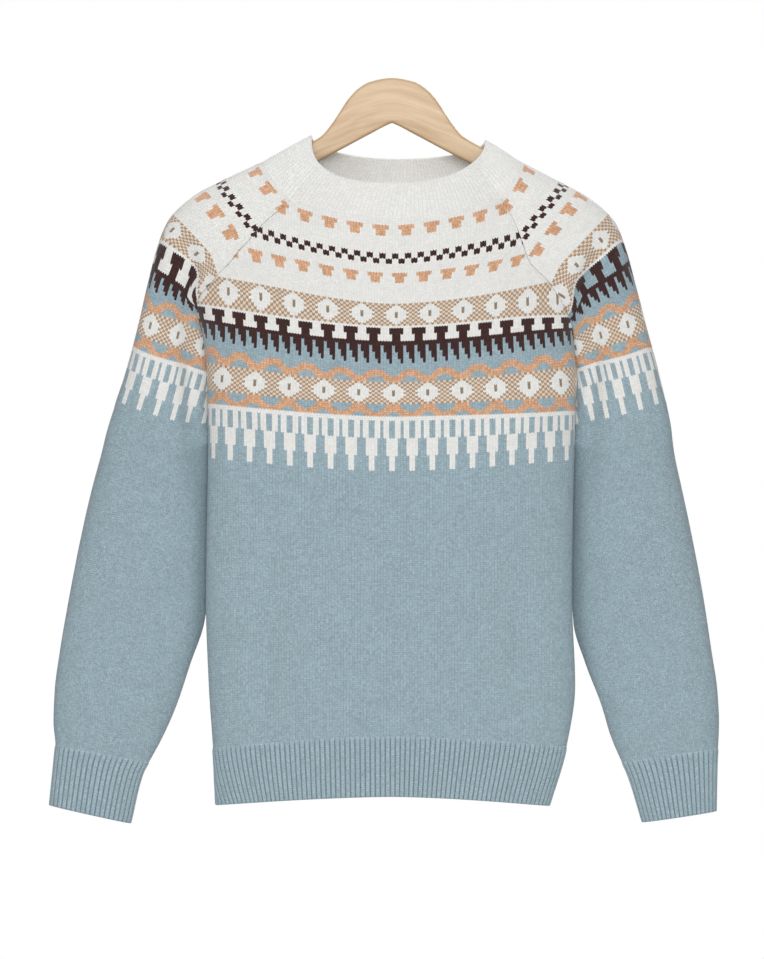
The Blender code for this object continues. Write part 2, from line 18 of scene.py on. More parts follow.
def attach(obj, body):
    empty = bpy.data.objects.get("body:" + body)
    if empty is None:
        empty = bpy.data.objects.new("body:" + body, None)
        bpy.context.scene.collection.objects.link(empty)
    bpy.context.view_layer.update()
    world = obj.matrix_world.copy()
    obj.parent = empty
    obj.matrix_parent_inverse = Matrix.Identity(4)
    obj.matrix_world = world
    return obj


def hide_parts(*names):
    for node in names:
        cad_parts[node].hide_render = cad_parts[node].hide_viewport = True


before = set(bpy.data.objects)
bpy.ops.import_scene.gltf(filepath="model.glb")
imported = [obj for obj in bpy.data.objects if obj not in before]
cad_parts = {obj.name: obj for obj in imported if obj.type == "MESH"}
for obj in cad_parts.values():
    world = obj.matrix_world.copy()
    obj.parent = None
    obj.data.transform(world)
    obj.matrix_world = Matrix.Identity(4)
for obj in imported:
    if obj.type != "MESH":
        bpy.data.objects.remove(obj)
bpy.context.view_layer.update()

MM = 0.001
WALL = 2.4  # thickness of the knitted cloth
COURSE = 2.0  # height of a stitch
WALE_RELIEF = 0.32  # how far the middle of a wale stands over the furrow beside it
SEAM_CURL = 0.12  # how far a panel's edge rolls in at a seam
SEAM_REACH = 3.0  # how far from the seam it starts to roll
END_ROLL = 0.7  # the share of that roll where a panel meets its ribbing
RIM_ANGLE = 65  # an edge that turns by more degrees is shaded sharp
SAMPLES = 241  # points across a panel that its rows are read from
SEAM_SAMPLES = 400  # points down a raglan seam, between which a sleeve's rows start and end
RAGLAN_FADE = 16  # half rows above the underarm over which a raglan seam turns into a side seam
LATTICE_HALF_ROWS = 6  # steps of the lattice of points over a panel's plain inner side
LATTICE_SAMPLES = 5
DROOP_POWER = 1.6  # how a knitted row sags from its seams towards the middle
SLEEVE_SQUARENESS = 2.3  # of the oval that a sleeve's rows follow
SIDE_FADE = 20.0  # how far from a side seam a fold reaches its height
END_FADE = 40.0  # and how far from the ends of a panel
FOLD_SHARPNESS = 2.2

# Where a panel's sides lie in its map for baking, by scale and shift, and the strip for its rim.
OUTER_IN_MAP = ((1, 0.72), (0, 0.28))
INNER_IN_MAP = ((0.96, 0.24), (0.01, 0.005))
RIM_IN_MAP = (0.252, 0.262)
RIM_ENDS_IN_MAP = (0.001, 0.999)

HEM_RIBS = 150
CUFF_RIBS = 40
COLLAR_RIBS = 150
RIB_RISE = 0.9
FINE_RIB_RISE = 0.3
RIB_ROWS = 30  # rows of points down the hem rib and the cuffs
COLLAR_ROWS = 20
EDGE_SAMPLES = 3601  # angles over three turns of the collar's top edge at which it is measured
RIB_COLUMNS = 8  # columns of faces to a rib
RIDGE_POWER = 0.6  # below 1 a ridge is plump and a furrow narrow
RIB_START = 3.0  # how far from the sewn edge the ribs reach their full height
SEWN_HEIGHT = 0.1  # the share of that height at the sewn edge
EDGE_TURNS = (45, 90, 135)  # degrees round the free edge at which it has a row of points
HEM_LEAN = 12.0  # how far the hem's ribs lean at the right side seam
HEM_LEAN_REACH = 70.0  # how far from that seam they lean
LEAN_POWER = 1.5  # the lean grows faster towards the free edge

HANGER_THICKNESS = 12.0
HANGER_ROUNDING = 2.5
HANGER_HALF_LENGTH = 187.0
ARM_SLOPE = 0.53
ARM_END_HEIGHT = 15.0
ARM_END_ARC = (62, -118)  # the round end, in degrees from +X
ARM_END_POINTS = 25
CROWN_POINTS = 60
UNDERSIDE_POINTS = 40
WOOD_BEVEL_STEPS = 4
WOOD_RIM_ANGLE = 35
SAME_POINT = 1e-6  # points nearer than this are one
GRAIN_BEND = 0.03  # how softly the grain turns down into the arms, in metres

# A drop is measured down from the top of the hanger's crown, a width from the middle of the body,
# and a wrap is the angle from the middle of a panel to its side seam.
BODY_COLUMN_NAMES = (
    "front_drop back_drop seam_drop_right seam_drop_left width_right width_left "
    "depth squareness wrap_right wrap_left wrap_back back_rise"
)
BODY_ROWS = {
    "collar": (134.9, 110.2, 116.9, 115.0, 122.6, 118.8, 50, 2.0, 52.2, 59.8, 53, 16),
    "chequers": (171.0, 148.2, 149.2, 150.1, 166.0, 155.0, 49, 2.0, 52.2, 51.4, 52, 14),
    "cups": (189.0, 168.2, 169.1, 171.0, 181.0, 162.0, 48, 2.1, 54.2, 51.5, 52, 13),
    "diamonds": (225.2, 207.0, 194.8, 199.5, 188.0, 172.0, 47, 2.2, 64.3, 60.8, 56, 11),
    "tees": (237.5, 221.4, 214.7, 223.3, 187.0, 173.0, 46, 2.3, 80.6, 72.8, 60, 10),
    "spikes": (270.8, 258.4, 246.0, 250.8, 179.6, 173.0, 46, 2.4, 88.0, 86.0, 64, 8),
    "low diamonds": (298.3, 287.9, 281.2, 283.1, 175.8, 175.8, 46, 2.4, 92.0, 91.0, 68, 6),
    "comb": (322.0, 313.5, 307.8, 312.6, 174.8, 174.3, 46, 2.4, 96.0, 96.0, 72, 4),
    "underarm": (355.3, 351.5, 343.9, 343.9, 174.8, 173.4, 46, 2.4, 104.0, 104.0, 76, 0),
    "waist": (495.9, 495.9, 494.0, 494.0, 176.7, 171.0, 42, 2.4, 102.0, 102.0, 78, 0),
    "hip": (571.9, 571.9, 577.0, 577.0, 173.9, 173.9, 38, 2.4, 100.0, 100.0, 80, 0),
    "rib top": (624.2, 624.2, 635.6, 634.6, 170.0, 165.8, 34, 2.4, 98.0, 98.0, 82, 0),
    "hem": (682.1, 682.1, 690.7, 691.6, 167.2, 149.2, 30, 2.4, 98.0, 98.0, 82, 0),
}

# Each sleeve by the drop of its inner edge, which is the raglan seam as far as the underarm: three
# sizes of the right sleeve, the same of the left one, and two that both have.
SIDES = ("right", "left")
OUTER_COLUMN_NAMES = "inner_drop outer_x outer_drop outer_y half_depth"
SLEEVE_OUTER = {
    "collar": ((116.9, 122.6, 80.5), (115.0, 118.8, 78.4), (0, 31)),
    "chequers": ((149.2, 166.3, 100.7), (150.1, 161.5, 100.7), (0, 32)),
    "cups": ((169.1, 189.0, 113.0), (171.0, 186.2, 114.0), (0, 33)),
    "diamonds": ((194.8, 212.8, 136.8), (199.5, 212.8, 138.7), (2, 32)),
    "tees": ((214.7, 220.4, 163.4), (223.3, 221.4, 163.4), (5, 30)),
    "spikes": ((224.2, 228.5, 195.7), (236.0, 229.4, 195.7), (9, 30)),
    "low diamonds": ((255.6, 237.0, 231.8), (257.5, 238.0, 231.8), (12, 31)),
    "comb": ((280.3, 244.0, 258.4), (277.0, 245.0, 258.4), (15, 32)),
    "underarm": ((343.9, 263.0, 317.3), (343.9, 259.4, 317.3), (20, 33)),
    "upper arm": ((364.8, 269.8, 337.3), (364.8, 263.6, 337.3), (22, 32)),
    "above elbow": ((410.4, 284.0, 383.8), (410.4, 274.6, 383.8), (26, 31)),
    "elbow": ((460.8, 296.4, 437.0), (460.8, 286.0, 437.0), (28, 29)),
    "below elbow": ((516.8, 307.8, 495.9), (518.7, 296.9, 495.9), (26, 26)),
    "forearm": ((556.7, 315.9, 543.4), (556.7, 304.0, 543.4), (22, 24)),
    "wrist": ((596.6, 321.0, 583.3), (596.6, 309.7, 583.3), (19, 22.5)),
    "gather": ((625.1, 322.0, 611.8), (625.1, 311.1, 611.8), (17, 21)),
    "cuff top": ((649.8, 320.2, 633.7), (649.8, 310.2, 636.5), (16, 18)),
    "cuff pull": ((660.0, 321.0, 643.0), (660.0, 309.5, 646.0), (16, 16.5)),
    "cuff end": ((708.7, 325.9, 691.6), (707.8, 308.3, 697.3), (16, 16)),
}
# Below the underarm, how far out the inner edge is on the right and on the left, and how far back.
INNER_COLUMN_NAMES = "inner_drop inner_x centre_y"
SLEEVE_INNER = {
    "upper arm": (171.5, 170.0, 22),
    "above elbow": (172.0, 170.0, 28),
    "elbow": (172.0, 170.0, 29),
    "below elbow": (178.6, 173.0, 26),
    "forearm": (191.9, 184.3, 22),
    "wrist": (205.2, 199.5, 19),
    "gather": (217.6, 208.0, 17),
    "cuff top": (230.9, 218.5, 16),
    "cuff pull": (236.6, 223.4, 16),
    "cuff end": (248.9, 238.5, 16),
}

# The course at which each row of a sleeve lies, down to the comb.
PATTERN_COURSES = {
    "collar": 0,
    "chequers": 18,
    "cups": 27.5,
    "diamonds": 44.5,
    "tees": 53,
    "spikes": 66,
    "low diamonds": 81.5,
    "comb": 94,
}

NECK = SimpleNamespace(
    middle_x=6.0,
    half_width=82.4,
    depth_front=45.0,
    depth_back=44.0,
    drop_front=99.8,
    drop_back=75.0,
    drop_right=54.0,
    drop_left=58.5,
    squareness_right=2.85,
    squareness_left=2.1,
    squareness_back=2.0,
    lean=1.4,
    bulge=1.5,
)

CROWN_COLUMN_NAMES = "spread drop"
CROWN_ROWS = {
    "top": (0.0, 0.0),
    "round of the top": (21.0, 3.8),
    "shoulder": (31.0, 9.5),
    "side": (42.0, 20.9),
    "lower side": (49.6, 32.5),
    "neck": (57.6, 44.4),
    "root of the arm": (66.4, 54.8),
    "start of the arm": (78.0, 62.2),
}
UNDERSIDE_ROWS = {
    "apex": (0.0, 42.6),
    "round of the apex": (6.0, 45.2),
    "start of the slope": (20.0, 52.6),
    "middle of the slope": (46.0, 66.5),
    "root of the arm": (73.0, 80.6),
}

# The soft folds: where the middle of each lies, how it runs (degrees from +X, on the side it is
# seen from), its length, width and height. A negative height is a hollow.
FOLD_COLUMN_NAMES = ("x", "drop", "angle", "length", "width", "height")
FOLDS = {
    "front": {
        "drag from the right underarm": (-128, 318, -38, 110, 34, 2.6),
        "drag from the left underarm": (128, 322, 38, 110, 34, 2.6),
        "right ripple": (-78, 520, 86, 240, 56, 3.2),
        "left ripple": (66, 500, 94, 260, 60, 3.0),
        "crease beside the right seam": (-119, 550, 87, 230, 26, -3.4),
        "crease between the ripples": (12, 548, 90, 190, 26, -3.0),
        "crease beside the left seam": (122, 535, 92, 190, 26, -3.0),
    },
    "back": {
        "drag from the right underarm": (-120, 330, -40, 110, 36, 2.6),
        "drag from the left underarm": (120, 330, 40, 110, 36, 2.6),
        "middle ripple": (10, 520, 90, 260, 60, 3.0),
        "right hollow": (-84, 530, 88, 220, 56, -2.4),
    },
    "sleeve_right": {
        "tuck over the underarm": (-186, 200, -75, 90, 20, -7.0),
        "hollow beside the body": (-188, 290, -88, 190, 26, -7.0),
        "crease at the elbow": (-236, 470, 24, 90, 34, 2.4),
        "hollow below the elbow": (-252, 520, 18, 90, 36, -2.2),
        "puff over the cuff": (-274, 606, 8, 80, 34, 2.0),
    },
    "sleeve_left": {
        "tuck over the underarm": (182, 200, 65, 90, 20, -7.0),
        "hollow beside the body": (188, 290, 88, 190, 26, -7.0),
        "crease at the elbow": (228, 468, -24, 90, 34, 2.4),
        "hollow below the elbow": (242, 518, -18, 90, 36, -2.2),
        "puff over the cuff": (262, 606, -8, 80, 34, 2.0),
    },
}

# The width of a stitch at each course, on the body and on a sleeve, which hangs longer and narrower.
WALE_COLUMN_NAMES = "course body sleeve"
WALE_ROWS = {
    "collar": (0, 2.97, 3.10),
    "chequers": (18, 2.97, 3.18),
    "cups": (27.5, 2.90, 3.15),
    "diamonds": (44.5, 2.77, 2.85),
    "spikes": (66, 2.70, 2.50),
    "low diamonds": (82, 2.71, 2.38),
    "comb": (100, 2.72, 2.40),
    "below the pattern": (300, 2.70, 2.40),
}

# How far the pattern hangs below the rows of the form, in courses, at each course. On the body it
# is read from the right seam to the left, and on a sleeve from the outer edge to either seam.
KIND_OF_PANEL = {"front": "body", "back": "body", "sleeve_right": "sleeve", "sleeve_left": "sleeve"}
HANG_PLACES = {"body": (-1, -0.5, 0, 0.5, 1), "sleeve": (0, 0.4, 0.75, 1)}
BODY_HANG = {
    "collar": (0, 0, 0, 0, 0, 0),
    "cups": (5.5, -1.9, -0.3, 0, 0, -1.3),
    "above the chequers": (15.5, -1.9, -0.6, 0.2, 0.4, 0.2),
    "below the chequers": (20.5, -1.3, -0.2, 1.2, 1.3, 1.4),
    "second cups": (27.5, -2.4, -1.4, 0.3, 0.4, -0.2),
    "diamonds": (43, 2.0, -0.2, 0, 1.5, 2.8),
    "tees": (52, 0, -0.5, -0.5, -0.7, 1.0),
    "waves": (71, 0.3, 0.2, 0.4, 0.3, 1.2),
    "comb": (94, 0.3, -0.3, -0.6, 0.6, 1.3),
    "tips": (118, -1.0, -0.9, 0.2, 0.2, 0.6),
    "plain": (160, 0, 0, 0, 0, 0),
    "rib": (300, 0, 0, 0, 0, 0),
}
PATTERN_HANG = {
    "front": BODY_HANG,
    "back": BODY_HANG,
    "sleeve_right": {
        "collar": (0, 0, 0, 0, 0),
        "cups": (5.5, -2.0, -2.3, -2.4, -2.6),
        "chequers": (18, -1.8, -1.8, -1.9, -1.2),
        "second cups": (27.5, -3.0, -4.5, -4.6, -1.6),
        "diamonds": (43, 0.3, -3.6, -5.0, -0.2),
        "tees": (52, -0.5, -5.0, -7.0, -1.0),
        "spikes": (68, -3.5, -4.8, -8.6, -3.0),
        "low diamonds": (82.5, -5.0, -6.0, -5.5, -1.5),
        "comb": (94, -4.5, -6.0, -5.3, -1.0),
        "tips": (119, -3.0, -6.2, -4.8, -3.0),
        "plain": (190, 0, 0, 0, 0),
        "rib": (400, 0, 0, 0, 0),
    },
    "sleeve_left": {
        "collar": (0, 0, 0, 0, 0),
        "cups": (5.5, -1.0, -1.8, -1.7, -1.8),
        "chequers": (18, 0.5, 0.1, 0, 1.3),
        "second cups": (27.5, -2.8, -3.2, -1.4, 2.3),
        "diamonds": (43, -1.5, -2.5, -1.5, 2.8),
        "tees": (52, -1.5, -4.6, -4.8, 2.0),
        "spikes": (68, -3.8, -6.0, -9.8, -4.2),
        "low diamonds": (82.5, -5.6, -7.5, -7.0, -2.0),
        "comb": (94, -1.5, -6.0, -5.0, -1.0),
        "tips": (119, -1.5, -6.4, -5.4, -2.0),
        "plain": (190, 0, 0, 0, 0),
        "rib": (400, 0, 0, 0, 0),
    },
}

# How many stitches more the body has across to each seam than its width gives, at each course.
EXTRA_COLUMN_NAMES = "course right left"
EXTRA_ROWS = {
    "collar": (0, -1.0, -0.5),
    "cups": (5.5, -1.6, -0.7),
    "chequers": (18, -0.8, -0.8),
    "second cups": (27.5, 0, 1.0),
    "diamonds": (45.5, 1.4, 3.4),
    "comb": (96, -2.5, 0),
    "tips": (118, -2.5, 0),
    "plain": (200, 0, 0),
}

# Each yarn's name, its linear colour, and how strongly the heather and the painted shade of the relief
# show in it.
# Off-white reads as cream where strands of ochre lie behind it.
YARNS = {
    "U": ("dusty blue", (0.300, 0.400, 0.450), 1.0),
    "W": ("off-white", (0.765, 0.760, 0.738), 0.4),
    "O": ("terracotta", (0.640, 0.362, 0.215), 1.3),
    "B": ("dark brown", (0.042, 0.014, 0.012), 1.6),
    "L": ("ochre", (0.405, 0.252, 0.128), 0.8),
    "D": ("stone", (0.270, 0.205, 0.140), 0.8),
    "C": ("cream", (0.690, 0.615, 0.545), 0.5),
    # Painted light: the inside of the collar is a lighter off-white than the outside, to make up for the
    # shade that falls in it.
    "I": ("off-white inside the collar", (0.900, 0.893, 0.870), 0.4),
}
YARN_ORDER = "UWOBLDCI"

# The pattern by bands: the first course, the first wale of the repeat on the body, on the right
# sleeve and on the left one, and one line of stitches for each course. Wales are counted from the
# middle of a panel to the right, as it is seen from outside.
CUPS = ("WWOOOOOW", "WWOOOOOW", "WWWOOOWW", "WWWOOOWW", "WWWOOOWW")
CHEQUERS = ("BBWW", "BBWW", "WWBB", "WWBB")
TOP_OF_DIAMONDS = (
    "CLCLCLCLCLCL",
    "LCLCLWWWLCLC",
    "CLCLWWWWWLCL",
    "LCLWWWWWWWLC",
    "CLWWWWDWWWWL",
    "LCLWWWDWWWLC",
)
ROUND_DIAMONDS = TOP_OF_DIAMONDS + TOP_OF_DIAMONDS[-2::-1]
TEES = ("BBBBBWWW",) * 3 + ("WBBBWWWW",) * 3 + ("BBBBBBBB",) * 2
SPIKES = ("UBBB",) * 3 + ("UUBB",) * 3 + ("UUUB",) * 2 + ("UUUU",) * 3
WAVES = (
    "OOOUUUUUUUOO",
    "OOOOUUUUUOOO",
    "OOOOOUUUOOOO",
    "UUOOOOOOOOOU",
    "UUUOOOOOOOUU",
    "UUUUOOOOOUUU",
)
WAVES_AND_DIAMONDS = WAVES + ROUND_DIAMONDS + WAVES[-1:] + WAVES[:0:-1] + ("W" * 12,) * 2
COMB = ("UUWWUWW",) * 8 + ("WWWUUUW",) * 8 + ("WWUUUUU",) * 7
BANDS = {
    "cups": (3, 0, 0, 0, CUPS),
    "chequers": (16, 0, 1, 1, CHEQUERS),
    "second cups": (25, -2, 0, 1, CUPS),
    "round diamonds": (40, -5, 2, 5, ROUND_DIAMONDS),
    "tees": (52, -1, 6, 2, TEES),
    "spikes": (60, 0, 1, 1, SPIKES),
    "waves and diamonds": (71, -6, 7, 2, WAVES_AND_DIAMONDS),
    "comb": (96, -1, 3, 1, COMB),
}
PHASE_OF_PANEL = {"front": 0, "back": 0, "sleeve_right": 1, "sleeve_left": 2}
MIRRORED_PANELS = ("back", "sleeve_right")  # whose columns run to the left, seen from outside
YARN_SWAPS = {("sleeve_left", "tees"): (("W", "U"),)}
FIRST_PLAIN_COURSE = 119  # from here down all is dusty blue
STRANDED_FROM = 56  # the inner side is off-white down to here

BACKWARD = np.array([0.0, 1.0, 0.0])


class Table:
    """A short table of sizes. Its first column is the key, and the others are read between rows
    along a smooth curve that never passes the values on either side of it."""

    def __init__(self, column_names, rows):
        self.names = column_names.split()
        self.rows = list(rows)
        self.values = np.array(list(rows.values()), float)

    def key(self, row):
        return self.values[self.rows.index(row), 0]

    def column(self, name):
        return self.values[:, self.names.index(name)]

    def read(self, name, at):
        keys, values = self.values[:, 0], self.column(name)
        step = np.diff(keys)
        rise = np.diff(values) / step
        slope = np.concatenate([rise[:1], np.zeros(len(keys) - 2), rise[-1:]])
        same_way = rise[:-1] * rise[1:] > 0
        before = 2 * step[1:] + step[:-1]
        after = step[1:] + 2 * step[:-1]
        mean = (before + after) / (
            before / np.where(same_way, rise[:-1], 1) + after / np.where(same_way, rise[1:], 1)
        )
        slope[1:-1] = np.where(same_way, mean, 0)
        at = np.asarray(at, float)
        i = np.clip(np.searchsorted(keys, at, side="right") - 1, 0, len(step) - 1)
        t = (at - keys[i]) / step[i]
        return (
            values[i] * (1 + 2 * t) * (1 - t) ** 2
            + slope[i] * step[i] * t * (1 - t) ** 2
            + values[i + 1] * t**2 * (3 - 2 * t)
            + slope[i + 1] * step[i] * t**2 * (t - 1)
        )

    def at(self, key):
        """All the columns at one key, by name."""
        return SimpleNamespace(**{name: float(self.read(name, key)) for name in self.names})


BODY = Table(BODY_COLUMN_NAMES, BODY_ROWS)
OUTER = {
    side: Table(OUTER_COLUMN_NAMES, {row: (*sizes[n], *sizes[2]) for row, sizes in SLEEVE_OUTER.items()})
    for n, side in enumerate(SIDES)
}
WALES = Table(WALE_COLUMN_NAMES, WALE_ROWS)
EXTRA_STITCHES = Table(EXTRA_COLUMN_NAMES, EXTRA_ROWS)


def signed_power(value, power):
    return np.sign(value) * np.abs(value) ** power


def unit(vectors):
    return vectors / np.linalg.norm(vectors, axis=-1, keepdims=True)


def mix(first, second, share):
    return first * (1 - share) + second * share


def ease(value, start, end):
    t = np.clip((value - start) / (end - start), 0, 1)
    return t * t * (3 - 2 * t)


# --- The forms that the cloth follows -----------------------------------------------------------


def body_ring(front_drop, facing, t):
    """One row of the front (facing -1) or back (facing 1), from the right seam to the left."""
    row = BODY.at(front_drop)
    right = t < 0
    if facing < 0:
        wrap = np.where(right, row.wrap_right, row.wrap_left)
        middle_drop, rise = row.front_drop, 0
    else:
        meeting = 180 - np.where(right, row.wrap_right, row.wrap_left)
        wrap = meeting if front_drop >= BODY.key("underarm") else row.wrap_back
        middle_drop, rise = row.back_drop, row.back_rise
    width = np.where(right, row.width_right, row.width_left)
    seam_drop = np.where(right, row.seam_drop_right, row.seam_drop_left) - rise
    angle = np.radians(t * wrap)
    roundness = 2 / row.squareness
    x = width * signed_power(np.sin(angle), roundness)
    y = facing * row.depth * signed_power(np.cos(angle), roundness)
    edge = width * np.sin(np.radians(np.minimum(wrap, 90))) ** roundness
    droop = (np.abs(x) / edge) ** DROOP_POWER
    return np.stack([x, y, -(middle_drop + (seam_drop - middle_drop) * droop)], axis=-1)


def sleeve_arc(front_end, back_end, outer, half_depth, depth_axis, t):
    """An oval arc from the front seam over the outer point to the back seam. It is half an oval
    where the seams are as far apart as the sleeve is deep, and all of it where they meet."""
    middle = (front_end + back_end) / 2
    half_gap = np.linalg.norm(back_end - front_end) / 2
    roundness = 2 / SLEEVE_SQUARENESS
    half_depth = max(half_depth, half_gap)
    wrap = np.pi - np.arcsin(min(1.0, (half_gap / half_depth) ** (1 / roundness)))
    overshoot = np.abs(np.cos(wrap)) ** roundness
    across = (outer - middle) / (1 + overshoot)
    centre = outer - across
    angle = wrap * t[:, None]
    return (
        centre
        + across * signed_power(np.cos(angle), roundness)
        + depth_axis * half_depth * signed_power(np.sin(angle), roundness)
    )


def sleeve_courses(side):
    """The drop of a sleeve's inner edge at each course. Below the pattern, courses are counted
    along the outer edge."""
    outer = OUTER[side]
    last = PATTERN_COURSES["comb"]
    start = outer.rows.index("comb")
    edge = np.stack([outer.column("outer_x"), outer.column("outer_drop")], axis=-1)[start:]
    length = np.cumsum(np.linalg.norm(np.diff(edge, axis=0), axis=1))
    courses = list(PATTERN_COURSES.values()) + list(last + length / COURSE)
    rows = dict(zip(outer.rows, zip(courses, outer.column("inner_drop"))))
    return Table("course inner_drop", rows)


def sleeve_surface(side, courses, t):
    """The outer side of a sleeve at each of the courses, from its front seam round to its back
    seam, or to itself below the underarm."""
    sign = -1 if side == "right" else 1
    outer_table, course_table = OUTER[side], sleeve_courses(side)
    end = np.array([float(sign)])
    front_drops = np.linspace(BODY.key("collar"), BODY.key("underarm"), SEAM_SAMPLES)
    front_seam = np.array([body_ring(drop, -1, end)[0] for drop in front_drops])
    back_seam = np.array([body_ring(drop, 1, end)[0] for drop in front_drops])
    underarm = front_seam[-1]
    inner_rows = {"underarm": (-underarm[2], sign * underarm[0], underarm[1])}
    for name, sizes in SLEEVE_INNER.items():
        inner_rows[name] = (outer_table.key(name), sizes[SIDES.index(side)], sizes[2])
    inner_table = Table(INNER_COLUMN_NAMES, inner_rows)
    rows = []
    seam_axis = BACKWARD
    for course in courses:
        drop = float(course_table.read("inner_drop", course))
        row = outer_table.at(drop)
        outer = np.array([sign * row.outer_x, row.outer_y, -row.outer_drop])
        if drop < -underarm[2]:
            at = np.interp(drop, -front_seam[:, 2], np.arange(SEAM_SAMPLES))
            i = min(int(at), SEAM_SAMPLES - 2)
            share = at - i
            front_end = mix(front_seam[i], front_seam[i + 1], share)
            back_end = mix(back_seam[i], back_seam[i + 1], share)
            gap = back_end - front_end
            if np.linalg.norm(gap) > WALL:
                seam_axis = unit(gap)
            depth_axis = seam_axis
        else:
            inner = inner_table.at(drop)
            front_end = back_end = np.array([sign * inner.inner_x, inner.centre_y, -drop])
            turned = ease(drop, -underarm[2], outer_table.key("above elbow"))
            depth_axis = unit(mix(seam_axis, BACKWARD, turned))
        rows.append(sleeve_arc(front_end, back_end, outer, row.half_depth, depth_axis, t))
    return np.array(rows)


def grid_normals(grid):
    return unit(np.cross(np.gradient(grid, axis=1), np.gradient(grid, axis=0)))


def fold_push(points, folds):
    """How far the folds push each point out."""
    push = np.zeros(points.shape[:-1])
    for values in folds.values():
        fold = SimpleNamespace(**dict(zip(FOLD_COLUMN_NAMES, values)))
        turn = np.radians(fold.angle)
        right, up = points[..., 0] - fold.x, points[..., 2] + fold.drop
        along = (right * np.cos(turn) + up * np.sin(turn)) / fold.length
        aside = (up * np.cos(turn) - right * np.sin(turn)) / fold.width
        push += fold.height * np.exp(-((2 * along) ** 2) - (FOLD_SHARPNESS * aside) ** 2)
    return push


def with_folds(grid, inward, name, facing):
    """The grid with its folds, which fade out towards every seam."""
    length = row_lengths(grid)
    inside = ease(length, 0, SIDE_FADE) * ease(length[:, -1:] - length, 0, SIDE_FADE)
    from_top = np.linspace(0, len(grid) * COURSE / 2, len(grid))[:, None]
    fade = ease(from_top, 0, END_FADE) * ease(from_top[::-1], 0, END_FADE)
    seen = np.clip(facing * inward[..., 1], 0, 1) if facing else np.abs(inward[..., 1])
    push = fold_push(grid, FOLDS[name]) * inside * fade * seen
    return grid - inward * push[..., None]


def row_lengths(grid):
    """The distance of each point from the first along its row."""
    step = np.linalg.norm(np.diff(grid, axis=1), axis=2)
    return np.concatenate([np.zeros((len(grid), 1)), np.cumsum(step, axis=1)], axis=1)


def rolled_edges(grid, inward, open_rows):
    """The grid with its edges rolled in at the seams, and the directions through the cloth. Two
    panels roll the same way at a raglan seam, which takes up the first open_rows."""
    length = row_lengths(grid)
    to_right, to_left = length, length[:, -1:] - length
    rows = np.arange(len(grid))[:, None]
    raglan = 1 - ease(rows, open_rows - RAGLAN_FADE, open_rows)
    through = inward
    for distance, end in ((to_right, 0), (to_left, -1)):
        shared = BACKWARD * np.sign(inward[:open_rows, end, 1].mean())
        near = (raglan * np.exp(-((distance / (2 * SEAM_REACH)) ** 2)))[..., None]
        through = unit(mix(through, shared, near))
    from_top = rows * COURSE / 2
    roll = np.exp(-((to_right / SEAM_REACH) ** 2)) + np.exp(-((to_left / SEAM_REACH) ** 2))
    for distance in (from_top, from_top[::-1]):
        roll = np.maximum(roll, END_ROLL * np.exp(-((distance / SEAM_REACH) ** 2)))
    return grid + through * (SEAM_CURL * roll)[..., None], through


def with_hang(name, grid, through):
    """The form with its rows moved along it to where the pattern's rows hang."""
    kind = KIND_OF_PANEL[name]
    places = HANG_PLACES[kind]
    hang = Table("course " + " ".join(f"at_{n}" for n in range(len(places))), PATTERN_HANG[name])
    across = np.abs(ACROSS) if kind == "sleeve" else ACROSS
    last = len(grid) - 1
    hung, ways = np.empty_like(grid), np.empty_like(through)
    columns = np.arange(grid.shape[1])
    for row in range(len(grid)):
        at_places = [float(hang.read(column, row / 2)) for column in hang.names[1:]]
        shift = Table("place shift", dict(enumerate(zip(places, at_places)))).read("shift", across)
        source = np.clip(row + 2 * shift, 0, last)
        i = np.minimum(source.astype(int), last - 1)
        share = (source - i)[:, None]
        hung[row] = mix(grid[i, columns], grid[i + 1, columns], share)
        ways[row] = mix(through[i, columns], through[i + 1, columns], share)
    return hung, unit(ways)


# --- Knitting -----------------------------------------------------------------------------------


def chart(panel, courses, first_wale, wales):
    """The yarn of every stitch, as its place in YARN_ORDER. On some panels a letter of a band is
    knitted in another yarn."""
    yarns = np.full((courses, wales), YARN_ORDER.index("W"))
    yarns[FIRST_PLAIN_COURSE:] = YARN_ORDER.index("U")
    wale = np.arange(wales) + first_wale
    if panel in MIRRORED_PANELS:
        wale = -1 - wale
    for band, (first_course, *phases, lines) in BANDS.items():
        for course, line in enumerate(lines, first_course):
            for old, new in YARN_SWAPS.get((panel, band), ()):
                line = line.replace(old, new)
            places = (wale - phases[PHASE_OF_PANEL[panel]]) % len(line)
            yarns[course] = np.array([YARN_ORDER.index(stitch) for stitch in line])[places]
    return yarns


def flat_form(grid, through, courses, kind):
    """A panel's form with what it takes to lay stitches on it: at each half row, how far the
    points of the grid are from the middle, counted in stitches."""
    at = np.arange(2 * courses + 1) / 2
    length = row_lengths(grid)
    wale = (length - length[:, SAMPLES // 2][:, None]) / WALES.read(kind, at)[:, None]
    if kind == "body":
        right, left = (EXTRA_STITCHES.read(side, at)[:, None] for side in SIDES)
        wale = wale + ACROSS * np.where(ACROSS < 0, right, left)
    return SimpleNamespace(grid=grid, through=through, wale=wale, courses=courses)


def on_form(form, half_rows, wales):
    """The points of a form at these half rows and wales, and the directions through the cloth."""
    first = np.clip(half_rows.astype(int), 0, 2 * form.courses - 1)
    points, inward = 0, 0
    for row, weight in ((first, first + 1 - half_rows), (first + 1, half_rows - first)):
        at = np.empty(len(wales))
        for here in np.unique(row):
            picked = row == here
            at[picked] = np.interp(wales[picked], form.wale[here], np.arange(SAMPLES))
        i = np.minimum(at.astype(int), SAMPLES - 2)
        share = (at - i)[:, None]
        weight = weight[:, None]
        points = points + weight * mix(form.grid[row, i], form.grid[row, i + 1], share)
        inward = inward + weight * mix(form.through[row, i], form.through[row, i + 1], share)
    return points, unit(inward)


def seam_wales(form, half_rows):
    """The wales at which a half row meets its two seams."""
    rows = np.arange(len(form.wale))
    return np.interp(half_rows, rows, form.wale[:, 0]), np.interp(half_rows, rows, form.wale[:, -1])


